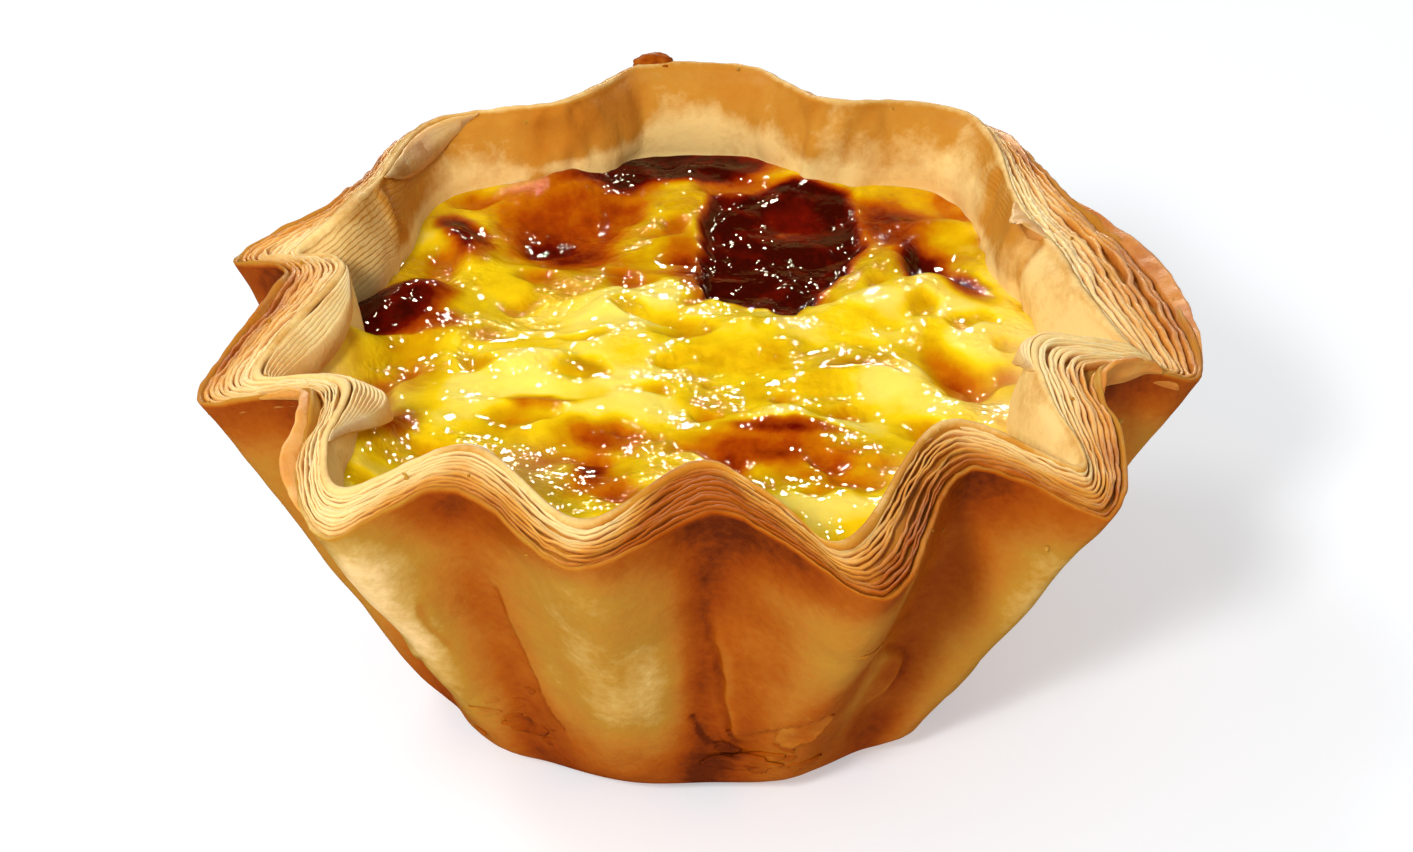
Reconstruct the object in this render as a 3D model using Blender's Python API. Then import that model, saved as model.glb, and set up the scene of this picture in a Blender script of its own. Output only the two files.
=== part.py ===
"""Croissant tart: a fluted cup of laminated pastry, filled with baked egg custard.

The tart stands on its sole at z = 0 with its axis on Z. Azimuths turn anticlockwise seen from
above, and 0 degrees is +X. Lengths below are in millimetres, and MM turns them into metres.
The crust is one solid: sole, fluted wall, the cut lip with its leaves, and the inner wall.
The custard is a second solid, which fills the crust down to its floor.
"""
import math

import bmesh
import bpy
import numpy as np
from mathutils import Matrix, Vector, noise

MM = 0.001

# Crust
SOLE_RADIUS = 18.5        # flat ring that the tart rests on
BASE_RADIUS = 22.0        # where the flutes' straight sides would meet the table
BASE_FLUTING = 0.10       # share of the rim's fluting that still shows at the base
FLOOR_TOP = 5.0           # thickness of the pastry under the custard
FLOOR_RADIUS = 17.5
LIP_LEAST = 2.6           # thinnest that the lip gets on the flanks between two folds
INNER_BELLY = 0.60        # below 1 the inside of the cup is rounder than a straight cone
LIP_LEAVES = 6            # leaves that the cut lip is split into
LEAF_RIDGE = 0.12         # how far a leaf stands above the cut face
LEAF_GROOVE = 0.55        # how deep the gap between two leaves is
LEAF_WAVE = 0.35          # how far a leaf's edge wanders up and down
COLUMNS = 144             # points round the crust
BEND_CROWDING = 3.0       # length of edge that weighs as much as one radian of bend

# One row for each fold of the rim, anticlockwise from the right:
# azimuth in degrees, radius and height of the outer edge, width of the lip, its rise from
# the outer to the inner edge, and how far round the inner edge is turned against the outer.
FOLDS = (
    (349.5, 41.8, 31.0, 5.2, 1.8, -1.8),    # wide right flute, front corner
    (0.0, 40.6, 31.6, 8.8, 2.8, -0.5),      # its lip has opened to twice the width
    (15.0, 38.8, 32.4, 8.2, 2.8, -1.0),     # wide right flute, rear corner
    (31.0, 36.8, 34.4, 6.2, 0.8, -5.5),
    (51.5, 43.0, 32.6, 3.4, 2.7, 1.0),      # rear right flute
    (62.0, 40.8, 33.4, 3.0, 2.4, 0.0),
    (70.0, 37.0, 34.8, 3.2, 1.9, 1.0),
    (81.5, 42.4, 33.6, 2.6, 2.6, 0.0),      # rear flute, two corners
    (97.0, 42.8, 33.4, 2.6, 2.6, 0.0),
    (108.0, 36.8, 34.6, 3.2, 1.9, 0.0),
    (125.5, 41.2, 32.3, 3.0, 2.7, 0.0),     # rear left flute
    (150.0, 34.2, 34.5, 4.0, 1.9, 8.0),
    (163.0, 39.8, 31.8, 6.8, 2.6, 4.0),     # pinched left flute
    (173.5, 33.4, 34.5, 5.4, 2.0, 4.0),
    (198.0, 41.1, 31.6, 5.1, 2.2, 1.5),     # left flute
    (210.0, 34.5, 34.6, 3.3, 0.8, 1.0),
    (221.0, 40.4, 32.6, 3.4, 2.2, 0.0),     # front left flute
    (231.0, 43.8, 31.5, 3.6, 2.5, -2.0),
    (240.0, 36.8, 34.5, 4.0, 2.0, -1.0),
    (258.0, 39.6, 31.5, 3.6, 2.5, -1.0),    # shallow front flute
    (273.5, 35.5, 34.5, 5.0, 2.0, -1.5),
    (289.0, 45.0, 31.5, 5.0, 2.5, -3.0),    # deep front flute
    (307.0, 35.9, 34.5, 4.6, 2.0, 2.0),
    (316.0, 44.6, 31.6, 4.4, 2.4, 2.0),     # front right flute
    (326.5, 40.5, 33.2, 7.6, 2.4, 0.5),
    (336.0, 35.2, 34.5, 5.6, 1.8, 3.5),
    (343.0, 37.6, 33.6, 2.4, 1.2, 2.8),
)

# Where two leaves have sprung apart:
# azimuth and half width in degrees, which gap (1 is the outermost), and its depth.
GAPS = (
    (337.0, 6.0, 1, 2.4),
    (6.0, 13.0, 2, 1.8),
    (20.0, 8.0, 3, 1.6),
    (52.0, 7.0, 2, 1.2),
    (186.0, 10.0, 1, 1.6),
    (214.0, 6.0, 1, 1.8),
    (264.0, 5.0, 1, 1.2),
    (280.0, 5.0, 3, 1.0),
    (297.0, 6.0, 3, 1.6),
    (320.0, 5.0, 4, 1.2),
)

# Scales of pastry that have lifted from the wall:
# azimuth, height, length round the wall, length up the wall, turn in degrees.
FLAKES = (
    (287.6, 10.2, 5.0, 3.8, -25.0),   # rounded scale low on the deep flute
    (279.5, 5.0, 6.0, 2.6, 10.0),     # crumbled edge under the front valley
    (238.5, 6.8, 3.6, 2.0, -25.0),    # and under the valley to the left of it
    (290.0, 21.5, 6.2, 2.8, -12.0),   # pale scale high on the deep flute
)
FLAKE_THICKNESS = 0.9
FLAKE_LIFT = 0.2          # how far a flake's middle lies outside the wall
CRUMB_AZIMUTH = 94.0      # a browned crumb stands on the lip at the back
CRUMB_SIZE = (3.8, 2.2, 2.2)
CRUMB_LIFT = 0.5

# Custard
GAP = 0.35                # kept between custard and crust
CUSTARD_EDGE = 28.8       # height at which the custard meets the wall
CUSTARD_CROWN = 0.3       # how far its middle stands above its edge
POCKETS = (               # where its edge runs up the wall: azimuth, spread, rise
    (186.0, 8.0, 3.9),
    (199.0, 9.0, 3.7),
    (212.0, 8.0, 3.2),
    (225.0, 8.0, 1.8),
    (110.0, 9.0, 2.0),
    (72.0, 8.0, 1.3),
)
CUSTARD_ROUGHNESS = 0.35  # height of its small unevenness
RING_POINTS = (144, 144, 144, 144, 144, 72, 72, 72, 72, 36, 36, 36, 18)
RING_SHARES = (0.95, 0.88, 0.81, 0.74, 0.67, 0.60, 0.52, 0.44, 0.36, 0.28, 0.20, 0.13, 0.06)
ROUND_RING = 0.5          # share of the way out inside which the custard's rings are round

# Swells and sunken scorched patches of the custard:
# x, y, half length, half width, turn in degrees, height.
SWELLS = (
    (7.5, 18.5, 7.0, 6.5, 0.0, -2.6),       # large scorched hollow
    (4.5, 11.0, 4.0, 3.5, 0.0, -1.2),
    (-10.5, 22.0, 6.5, 5.0, 20.0, -2.0),    # brown hollow behind it
    (0.0, 34.0, 7.0, 2.2, 0.0, 0.8),        # scorched ridge at the back wall
    (-23.8, 9.0, 5.2, 2.3, 45.0, 1.5),      # dark blisters on the left
    (-19.8, 22.5, 4.5, 2.0, 120.0, 1.2),
    (21.5, 15.5, 5.2, 2.0, -50.0, -1.3),    # dark groove on the right
    (17.0, 9.0, 7.0, 2.4, 40.0, 1.2),       # fold in front of the groove
    (-21.0, 3.5, 4.5, 3.6, 0.0, 1.3),
    (20.5, -2.0, 3.4, 2.6, 60.0, -1.5),
    (4.5, 1.5, 5.0, 3.6, 10.0, 1.3),        # pillowy middle
    (-5.5, 1.5, 5.0, 3.4, -10.0, 1.1),
    (12.0, -3.5, 5.0, 3.2, 20.0, 0.9),
    (-13.0, -4.5, 6.5, 2.6, -8.0, 0.9),
    (-12.5, 8.0, 3.6, 3.2, 0.0, -1.0),
    (6.0, -12.0, 6.0, 2.4, 5.0, 0.9),
    (-7.0, -15.0, 4.0, 3.0, 60.0, -0.8),
)


def polar(azimuth, radius, height):
    angle = math.radians(azimuth)
    return np.array((radius * math.cos(angle), radius * math.sin(angle), height))


def closed_curve(points, steps=40):
    """A smooth closed curve through the points (centripetal Catmull-Rom)."""
    curve = []
    count = len(points)
    for i in range(count):
        p0, p1, p2, p3 = (points[(i + k) % count] for k in (-1, 0, 1, 2))
        knots = np.cumsum([0.0] + [math.sqrt(np.linalg.norm(b[:3] - a[:3]))
                                   for a, b in ((p0, p1), (p1, p2), (p2, p3))])
        t0, t1, t2, t3 = knots
        for t in np.linspace(t1, t2, steps, endpoint=False):
            a1 = ((t1 - t) * p0 + (t - t0) * p1) / (t1 - t0)
            a2 = ((t2 - t) * p1 + (t - t1) * p2) / (t2 - t1)
            a3 = ((t3 - t) * p2 + (t - t2) * p3) / (t3 - t2)
            b1 = ((t2 - t) * a1 + (t - t0) * a2) / (t2 - t0)
            b2 = ((t3 - t) * a2 + (t - t1) * a3) / (t3 - t1)
            curve.append(((t2 - t) * b1 + (t - t1) * b2) / (t2 - t1))
    return np.array(curve)


def rim_edges(count=COLUMNS):
    """Outer edge, inner edge and base azimuth of the rim; columns crowd where it bends."""
    rows = []
    turn = 0.0
    for azimuth, radius, height, lip, rise, lean in FOLDS:
        if rows and azimuth + turn < rows[-1][6]:
            turn = 360.0
        outer = polar(azimuth, radius, height)
        inner = polar(azimuth + lean, radius - lip, height + rise)
        rows.append(np.array((*outer, *inner, azimuth + turn)))
    # The azimuth climbs by a full turn, so its ramp is taken off before the curve is closed
    ramp = np.linspace(0.0, 360.0, len(rows), endpoint=False)
    for row, share in zip(rows, ramp):
        row[6] -= share
    curve = closed_curve(rows)
    curve[:, 6] += np.linspace(0.0, 360.0, len(curve), endpoint=False)
    steps = np.roll(curve, -1, axis=0)[:, :3] - curve[:, :3]
    lengths = np.linalg.norm(steps, axis=1)
    bends = np.linalg.norm(np.roll(steps, -1, axis=0) / np.roll(lengths, -1)[:, None]
                           - steps / lengths[:, None], axis=1)
    along = np.concatenate(([0.0], np.cumsum(lengths + BEND_CROWDING * bends)))
    wanted = np.linspace(0.0, along[-1], count, endpoint=False)
    closed = np.vstack((curve, curve[:1]))
    closed[-1, 6] += 360.0
    even = np.column_stack([np.interp(wanted, along, closed[:, k]) for k in range(7)])
    outer, inner, turn = even[:, :3], even[:, 3:6], np.radians(even[:, 6])
    return outer, keep_lip_open(outer, inner), turn


def keep_lip_open(outer, inner):
    """Moves the inner edge inwards wherever the lip would be thinner than LIP_LEAST."""
    along = np.roll(outer, -1, axis=0) - np.roll(outer, 1, axis=0)
    inwards = np.column_stack((-along[:, 1], along[:, 0], np.zeros(len(along))))
    inwards /= np.linalg.norm(inwards, axis=1)[:, None]
    width = np.sum((inner - outer) * inwards, axis=1)
    push = np.maximum(0.0, LIP_LEAST - width)
    for _ in range(3):
        push = (np.roll(push, 1) + 2.0 * push + np.roll(push, -1)) / 4.0
    return inner + inwards * push[:, None]


OUTER, INNER, TURN = rim_edges()
RIM_MEAN = float(np.mean(np.hypot(OUTER[:, 0], OUTER[:, 1])))


def circle(radius, height):
    """Points of a level circle under the rim's columns; radius may be one value a column."""
    radius = np.broadcast_to(radius, TURN.shape)
    return np.column_stack((radius * np.cos(TURN), radius * np.sin(TURN),
                            np.full(len(TURN), height)))


def bump(azimuth, centre, spread):
    """A smooth hump of height 1 round an azimuth, all in degrees."""
    off = (azimuth - centre + 180.0) % 360.0 - 180.0
    return np.exp(-(off / spread) ** 2)


def smooth_noise(points, size, seed):
    """Even noise of -1 to 1 for every point, with features about `size` across."""
    shift = Vector((seed * 7.3, seed * 3.1, seed * 5.7))
    return np.array([noise.noise(Vector(p) / size + shift) for p in points])


def outer_row(share):
    """The outside of the wall: 0 is the table, 1 the outer edge of the lip."""
    fluting = BASE_FLUTING * (np.hypot(OUTER[:, 0], OUTER[:, 1]) - RIM_MEAN)
    foot = circle(BASE_RADIUS + fluting, 0.0)
    row = foot + (OUTER - foot) * share
    return row


def inner_row(share):
    """The inside of the wall: 0 is the floor, 1 the inner edge of the lip."""
    share = np.broadcast_to(share, TURN.shape)[:, None]
    floor = circle(FLOOR_RADIUS, FLOOR_TOP)
    row = floor + (INNER - floor) * share
    row[:, :2] = floor[:, :2] + (INNER - floor)[:, :2] * share ** INNER_BELLY
    return row


def lip_rows():
    """The cut face between the two edges: ridges are leaves, grooves the gaps between them."""
    along = np.roll(OUTER, -1, axis=0) - np.roll(OUTER, 1, axis=0)
    across = INNER - OUTER
    up = np.cross(across, along)
    up *= np.sign(up[:, 2:3]) / np.linalg.norm(up, axis=1)[:, None]
    azimuth = np.degrees(np.arctan2(OUTER[:, 1], OUTER[:, 0]))
    rows = []
    last = 2 * LIP_LEAVES
    for k in range(1, last):
        is_leaf = k % 2 == 1
        wander = smooth_noise(OUTER, 9.0, k) * 0.30 / last
        height = LEAF_RIDGE + LEAF_WAVE * smooth_noise(OUTER, 6.0, 20 + k)
        if not is_leaf:
            height = -LEAF_GROOVE + 0.4 * LEAF_WAVE * smooth_noise(OUTER, 8.0, 40 + k)
            for centre, spread, gap, depth in GAPS:
                if 2 * gap == k:
                    height = height - depth * bump(azimuth, centre, spread)
        share = (k / last + wander)[:, None]
        rows.append(OUTER + across * share + up * np.reshape(height, (-1, 1)))
    return rows


def custard_edge_share():
    """How far up the inner wall the custard reaches, as a share for inner_row."""
    azimuth = np.degrees(np.arctan2(INNER[:, 1], INNER[:, 0]))
    height = np.full(len(azimuth), CUSTARD_EDGE)
    for centre, spread, rise in POCKETS:
        height = height + rise * bump(azimuth, centre, spread)
    return (height - FLOOR_TOP) / (INNER[:, 2] - FLOOR_TOP)


def custard_swell(points):
    """How far the swells and hollows lift the custard at each point."""
    lift = np.zeros(len(points))
    for x, y, length, width, turn, height in SWELLS:
        angle = math.radians(turn)
        dx = points[:, 0] - x
        dy = points[:, 1] - y
        a = (dx * math.cos(angle) + dy * math.sin(angle)) / length
        b = (dy * math.cos(angle) - dx * math.sin(angle)) / width
        lift += height * np.exp(-(a * a + b * b) ** 1.5)
    return lift


def stitch(ring_a, ring_b):
    """Triangles between two rings of vertices: as many, or half as many in the second."""
    faces = []
    count = len(ring_b)
    for i in range(count):
        j = (i + 1) % count
        if len(ring_a) == count:
            faces += [(ring_a[i], ring_a[j], ring_b[j]), (ring_a[i], ring_b[j], ring_b[i])]
        else:
            low, middle, high = ring_a[2 * i], ring_a[2 * i + 1], ring_a[(2 * i + 2) % len(ring_a)]
            faces += [(low, middle, ring_b[i]), (middle, high, ring_b[j]),
                      (middle, ring_b[j], ring_b[i])]
    return faces


def lofted(name, first, rings, last, material):
    """A closed solid through the rings, shut at both ends by a fan to a middle point."""
    points = [first]
    ids = []
    for ring in rings:
        ids.append(list(range(len(points), len(points) + len(ring))))
        points += list(ring)
    points.append(last)
    faces = [(0, ids[0][(i + 1) % len(ids[0])], ids[0][i]) for i in range(len(ids[0]))]
    for ring_a, ring_b in zip(ids, ids[1:]):
        faces += stitch(ring_a, ring_b)
    tail = ids[-1]
    faces += [(tail[i], tail[(i + 1) % len(tail)], len(points) - 1) for i in range(len(tail))]
    mesh = bpy.data.meshes.new(name)
    mesh.from_pydata([tuple(np.asarray(p) * MM) for p in points], [], faces)
    solid = bmesh.new()
    solid.from_mesh(mesh)
    bmesh.ops.recalc_face_normals(solid, faces=solid.faces)
    solid.to_mesh(mesh)
    solid.free()
    mesh.materials.append(material)
    mesh.shade_smooth()
    mesh.set_sharp_from_angle(angle=math.radians(40.0))
    obj = bpy.data.objects.new(name, mesh)
    bpy.context.collection.objects.link(obj)
    return obj


def finish(name, colour, roughness):
    """A matt or glossy food surface: linear RGB colour and roughness."""
    material = bpy.data.materials.new(name)
    material.use_nodes = True
    shader = material.node_tree.nodes["Principled BSDF"]
    shader.inputs["Base Color"].default_value = (*colour, 1.0)
    shader.inputs["Roughness"].default_value = roughness
    shader.inputs["Metallic"].default_value = 0.0
    return material


def flake(index, azimuth, height, length, rise, turn):
    """A thin uneven scale that lies on the wall, its edge thinner than its middle."""
    sides = 9
    angle = math.radians(azimuth)
    column = int(np.argmin(np.abs((TURN - angle + math.pi) % math.tau - math.pi)))
    share = height / OUTER[column, 2]
    middle = Vector(outer_row(share)[column])
    above = Vector(outer_row(share + 0.1)[column])
    ahead = Vector(outer_row(share)[(column + 1) % COLUMNS])
    upward = (above - middle).normalized()
    around = (ahead - middle).normalized()
    outward = around.cross(upward).normalized()
    around = upward.cross(outward)
    frame = Matrix((around, upward, outward)).transposed()
    frame = frame @ Matrix.Rotation(math.radians(turn), 3, "Z")
    centre = middle + outward * FLAKE_LIFT
    mesh = bmesh.new()
    rims = []
    for side in (-0.5, 0.5):
        rim = []
        for k in range(sides):
            around_flake = math.tau * k / sides
            uneven = 1.0 + 0.22 * noise.noise(Vector((k * 1.7, index * 5.1, 0.3)))
            spot = Vector((0.5 * length * uneven * math.cos(around_flake),
                           0.5 * rise * uneven * math.sin(around_flake),
                           0.45 * side * FLAKE_THICKNESS))
            rim.append(mesh.verts.new((centre + frame @ spot) * MM))
        hub = mesh.verts.new((centre + frame @ Vector((0, 0, side * FLAKE_THICKNESS))) * MM)
        rims.append(rim)
        for k in range(sides):
            mesh.faces.new((rim[k], rim[(k + 1) % sides], hub))
    for k in range(sides):
        j = (k + 1) % sides
        mesh.faces.new((rims[0][k], rims[1][k], rims[1][j], rims[0][j]))
    bmesh.ops.recalc_face_normals(mesh, faces=mesh.faces)
    data = bpy.data.meshes.new(f"flake_{index}")
    mesh.to_mesh(data)
    mesh.free()
    return bpy.data.objects.new(f"flake_{index}", data)


def crumb():
    """The browned crumb on the rear lip: a lump sunk a little into the leaves."""
    angle = math.radians(CRUMB_AZIMUTH)
    column = int(np.argmin(np.abs((TURN - angle + math.pi) % math.tau - math.pi)))
    centre = 0.35 * OUTER[column] + 0.65 * INNER[column]
    centre[2] += CRUMB_LIFT
    mesh = bmesh.new()
    bmesh.ops.create_icosphere(mesh, subdivisions=2, radius=0.5)
    for vertex in mesh.verts:
        vertex.co *= 1.0 + 0.25 * noise.noise(vertex.co * 2.4)
        vertex.co = Vector(size * c for size, c in zip(CRUMB_SIZE, vertex.co))
        vertex.co = (vertex.co + Vector(centre)) * MM
    data = bpy.data.meshes.new("crumb")
    mesh.to_mesh(data)
    mesh.free()
    return bpy.data.objects.new("crumb", data)


def fuse(target, pieces):
    """Joins the pieces to the target with one Boolean union and removes them."""
    group = bpy.data.collections.new("to_fuse")
    bpy.context.scene.collection.children.link(group)
    for piece in pieces:
        group.objects.link(piece)
    union = target.modifiers.new("fuse", "BOOLEAN")
    union.operation = "UNION"
    union.operand_type = "COLLECTION"
    union.collection = group
    union.solver = "EXACT"
    graph = bpy.context.evaluated_depsgraph_get()
    fused = bpy.data.meshes.new_from_object(target.evaluated_get(graph))
    target.modifiers.remove(union)
    target.data = fused
    for piece in pieces:
        bpy.data.objects.remove(piece)
    bpy.data.collections.remove(group)


def make_crust():
    """Sole, rounded foot, fluted wall, cut lip, inner wall and floor, then the flakes."""
    pastry = finish("golden_pastry", (0.60, 0.32, 0.10), 0.55)
    rings = [circle(SOLE_RADIUS, 0.0), circle(SOLE_RADIUS + 2.2, 0.8)]
    rings += [outer_row(share) for share in (0.085, 0.18, 0.34, 0.51, 0.68, 0.84, 1.0)]
    rings += lip_rows()
    edge = custard_edge_share()
    rings += [inner_row(share) for share in (1.0, (1.0 + edge) / 2.0, edge, 0.62 * edge,
                                             0.30 * edge, 0.08 * edge, 0.0)]
    crust = lofted("crust", (0, 0, 0), rings, (0, 0, FLOOR_TOP), pastry)
    fuse(crust, [flake(i, *row) for i, row in enumerate(FLAKES)] + [crumb()])
    return crust


def make_custard():
    """Fills the crust with GAP to spare, with a swollen top."""
    custard = finish("baked_custard", (0.80, 0.52, 0.03), 0.18)
    edge = custard_edge_share()
    rings = [circle(FLOOR_RADIUS - 1.0, FLOOR_TOP + GAP)]
    for share in (0.08 * edge, 0.30 * edge, 0.62 * edge, edge):
        ring = inner_row(share)
        radius = np.hypot(ring[:, 0], ring[:, 1])[:, None]
        ring[:, :2] *= (radius - 1.6 * GAP) / radius
        rings.append(ring)
    rings[1][:, 2] += GAP
    brim = rings[-1]
    reach = np.hypot(brim[:, 0], brim[:, 1])
    bearing = np.unwrap(np.arctan2(brim[:, 1], brim[:, 0]))
    even = bearing.mean() + math.tau * ((np.arange(COLUMNS) + 0.5) / COLUMNS - 0.5)
    for count, share in zip(RING_POINTS, RING_SHARES):
        # From the fluted brim the rings grow round, with evenly spaced points
        fluted = max(0.0, (share - ROUND_RING) / (1.0 - ROUND_RING))
        radius = share * (reach.mean() + (reach - reach.mean()) * fluted)
        angle = even + (bearing - even) * fluted
        ring = np.column_stack((radius * np.cos(angle), radius * np.sin(angle), brim[:, 2]))
        ring = ring[::COLUMNS // count]
        level = CUSTARD_EDGE + CUSTARD_CROWN * (1.0 - share ** 2)
        flat = level + custard_swell(ring) + CUSTARD_ROUGHNESS * smooth_noise(
            np.column_stack((ring[:, :2], np.zeros(count))), 4.0, 9)
        settle = min(1.0, (1.0 - share) / 0.22)
        ring[:, 2] = ring[:, 2] * (1.0 - settle) + flat * settle
        rings.append(ring)
    middle = np.array((0.0, 0.0, float(np.mean(rings[-1][:, 2]))))
    return lofted("custard", (0, 0, FLOOR_TOP + GAP), rings, middle, custard)


def main():
    for obj in list(bpy.data.objects):
        bpy.data.objects.remove(obj)
    make_crust()
    make_custard()


main()
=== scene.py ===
"""Croissant tart: a laminated pastry cup with a cut, layered lip, filled with scorched egg custard.

The tart stands on z = 0 with its axis on Z. Azimuths turn anticlockwise seen from above, and
0 degrees is +X. Lengths are in millimetres, but the properties and the stage are in metres; MM
joins the two.
"""

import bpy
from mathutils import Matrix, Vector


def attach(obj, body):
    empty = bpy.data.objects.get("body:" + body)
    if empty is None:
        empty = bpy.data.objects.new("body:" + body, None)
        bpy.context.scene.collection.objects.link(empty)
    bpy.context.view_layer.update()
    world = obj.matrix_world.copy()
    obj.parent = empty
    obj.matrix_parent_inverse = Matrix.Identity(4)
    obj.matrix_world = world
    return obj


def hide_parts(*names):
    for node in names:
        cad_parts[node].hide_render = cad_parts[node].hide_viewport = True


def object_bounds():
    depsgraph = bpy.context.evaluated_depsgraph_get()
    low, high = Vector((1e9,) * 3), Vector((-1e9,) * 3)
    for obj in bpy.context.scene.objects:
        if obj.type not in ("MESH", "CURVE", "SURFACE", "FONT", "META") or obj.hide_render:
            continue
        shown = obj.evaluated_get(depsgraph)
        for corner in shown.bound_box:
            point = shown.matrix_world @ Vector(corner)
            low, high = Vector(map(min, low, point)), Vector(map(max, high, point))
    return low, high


bl_info = {
    "name": "Croissant tart",
    "version": (1, 0, 0),
    "blender": (4, 5, 0),
    "location": "3D View > Sidebar > Tart",
    "description": "Dresses a packed croissant tart: cup, leaves of the lip, custard and crumbs",
    "category": "Object",
}

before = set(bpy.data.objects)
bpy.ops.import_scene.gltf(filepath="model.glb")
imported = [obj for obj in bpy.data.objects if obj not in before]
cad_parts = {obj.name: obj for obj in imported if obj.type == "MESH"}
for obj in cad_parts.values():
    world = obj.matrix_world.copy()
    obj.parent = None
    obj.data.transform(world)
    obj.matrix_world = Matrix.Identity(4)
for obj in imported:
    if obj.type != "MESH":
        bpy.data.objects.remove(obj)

from functools import partial
import math

import bpy
import numpy as np
from mathutils import Vector, noise

CAD_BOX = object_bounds()
MM = 0.001

# ------------------------------------------------------------------ numbers of the rim and the wall

SOLE_RADIUS = 18.5
FOOT_RISE = 0.8           # height of the bevel between the sole and the wall
FOOT_WIDTH = 2.2
BASE_RADIUS = 22.0        # where the flutes' straight sides would meet the table
BASE_FLUTING = 0.10       # share of the rim's fluting that still shows at the base
FLOOR_TOP = 5.0
FLOOR_RADIUS = 17.5
INNER_BELLY = 0.60        # below 1 the inside of the cup is rounder than a straight cone
LIP_LEAST = 2.6           # the lip is at least as thick as this between two folds
BEND_CROWDING = 3.0       # length of edge that weighs as much as one radian of bend
CREST_REACH = 39.3        # reach of the rim between a crest and a valley
CREST_RISE = 3.6          # and how much further out a crest reaches
WALL_HEIGHT = 34.0        # of the wall's flat map and of the cone at its foot
FOOT_FLARE = 28.0         # how far that cone would spread over that height
COLUMNS = 1200            # points round the leaves
CUP_COLUMNS = 900         # and round the cup
COLUMNS_A_ROUND = 48      # the more columns, the more rounds of smoothing they need
WALL_ROWS = 62            # rings of the wall below its last few
INSIDE_ROWS = 22          # rings from the lip to just below the custard's edge

# One row for each fold of the rim, anticlockwise from the right:
# azimuth in degrees, radius and height of the outer edge, width of the lip, its rise from
# the outer to the inner edge, and how far round the inner edge is turned against the outer.
FOLDS = (
    (349.5, 41.8, 31, 5.2, 1.8, -1.8),  # wide right flute, front corner
    (0, 40.6, 31.6, 8.8, 2.8, -0.5),  # its lip has opened to twice the width
    (15, 38.8, 32.4, 8.2, 2.8, -1),  # wide right flute, rear corner
    (31, 36.8, 34.4, 6.2, 0.8, -5.5),
    (51.5, 43, 32.6, 3.4, 2.7, 1),  # rear right flute
    (62, 40.8, 33.4, 3, 2.4, 0),
    (70, 37, 34.8, 3.2, 1.9, 1),
    (81.5, 42.4, 33.6, 2.6, 2.6, 0),  # rear flute, two corners
    (97, 42.8, 33.4, 2.6, 2.6, 0),
    (108, 36.8, 34.6, 3.2, 1.9, 0),
    (125.5, 41.2, 32.3, 3, 2.7, 0),  # rear left flute
    (150, 34.2, 34.5, 4, 1.9, 8),
    (163, 39.8, 31.8, 6.8, 2.6, 4),  # pinched left flute
    (173.5, 33.4, 34.5, 5.4, 2, 4),
    (198, 41.1, 31.6, 5.1, 2.2, 1.5),  # left flute
    (210, 34.5, 34.6, 3.3, 0.8, 1),
    (221, 40.4, 32.6, 3.4, 2.2, 0),  # front left flute
    (231, 43.8, 31.5, 3.6, 2.5, -2),
    (240, 36.8, 34.5, 4, 2, -1),
    (258, 39.6, 31.5, 3.6, 2.5, -1),  # shallow front flute
    (273.5, 35.5, 34.5, 5, 2, -1.5),
    (289, 45, 31.5, 5, 2.5, -3),  # deep front flute
    (307, 35.9, 34.5, 4.6, 2, 2),
    (316, 44.6, 31.6, 4.4, 2.4, 2),  # front right flute
    (326.5, 40.5, 33.2, 7.6, 2.4, 0.5),
    (336, 35.2, 34.5, 5.6, 1.8, 3.5),
    (343, 37.6, 33.6, 2.4, 1.2, 2.8),
)

# Where two leaves have sprung apart:
# azimuth and half width in degrees, place across the lip (0 outer, 1 inner), opening in mm.
GAPS = (
    (337, 6, 0.16, 1.5),
    (6, 13, 0.3, 1.4),
    (20, 8, 0.48, 1),
    (52, 7, 0.34, 0.6),
    (186, 10, 0.16, 1.1),
    (214, 6, 0.16, 1.2),
    (264, 5, 0.16, 0.5),
    (280, 5, 0.46, 0.4),
    (297, 6, 0.48, 0.8),
    (320, 5, 0.62, 0.5),
)
LEAF_REPEL = 0.16         # share of the lip over which a gap pushes the leaves aside
TIGHT_LEAF = 0.97         # thickness of a leaf over the pitch, where the leaves lie close
LOOSE_LEAF = 0.60         # and where they stand apart
OUTER_LEAF = 0.62         # thickness of the outermost leaf, which is the wall's own edge
INNER_LEAF = 0.95         # thickness of the innermost leaf
LEAF_RIDGE = 0.12         # how far a leaf stands above the cut face
LEAF_SHOULDER = 0.22      # how far its side falls before the core begins
TROUGH = 0.36             # depth of the core that shows between two leaves
GAP_DEPTH = 0.30          # how much deeper it is where they have sprung apart

# Where the innermost leaf is thick and rolls over into the cup: azimuth, half width, thickness
# as a share of the lip.
ROLLS = (
    (92, 22, 0.62),
    (125, 16, 0.55),
    (148, 10, 0.45),
    (62, 12, 0.5),
    (226, 7, 0.3),
)

# Where the leaves stand apart: azimuth, half width, how far (0 tight, 1 loose).
LOOSENESS = (
    (300, 11, 0.95),
    (268, 13, 0.5),
    (284, 7, 0.45),
    (248, 7, 0.35),
    (322, 9, 0.4),
    (336, 7, 0.55),
    (5, 16, 0.75),
    (52, 12, 0.55),
    (90, 12, 0.4),
    (126, 14, 0.55),
    (163, 10, 0.6),
    (214, 8, 0.55),
)

# Where the outermost leaf stands proud of the others: azimuth, half width, height.
PROUD_EDGES = (
    (336.5, 4.5, 0.9),
    (212.5, 4, 0.7),
    (180, 8, 0.5),
    (262, 5, 0.3),
    (359, 8, 0.3),
)

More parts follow.
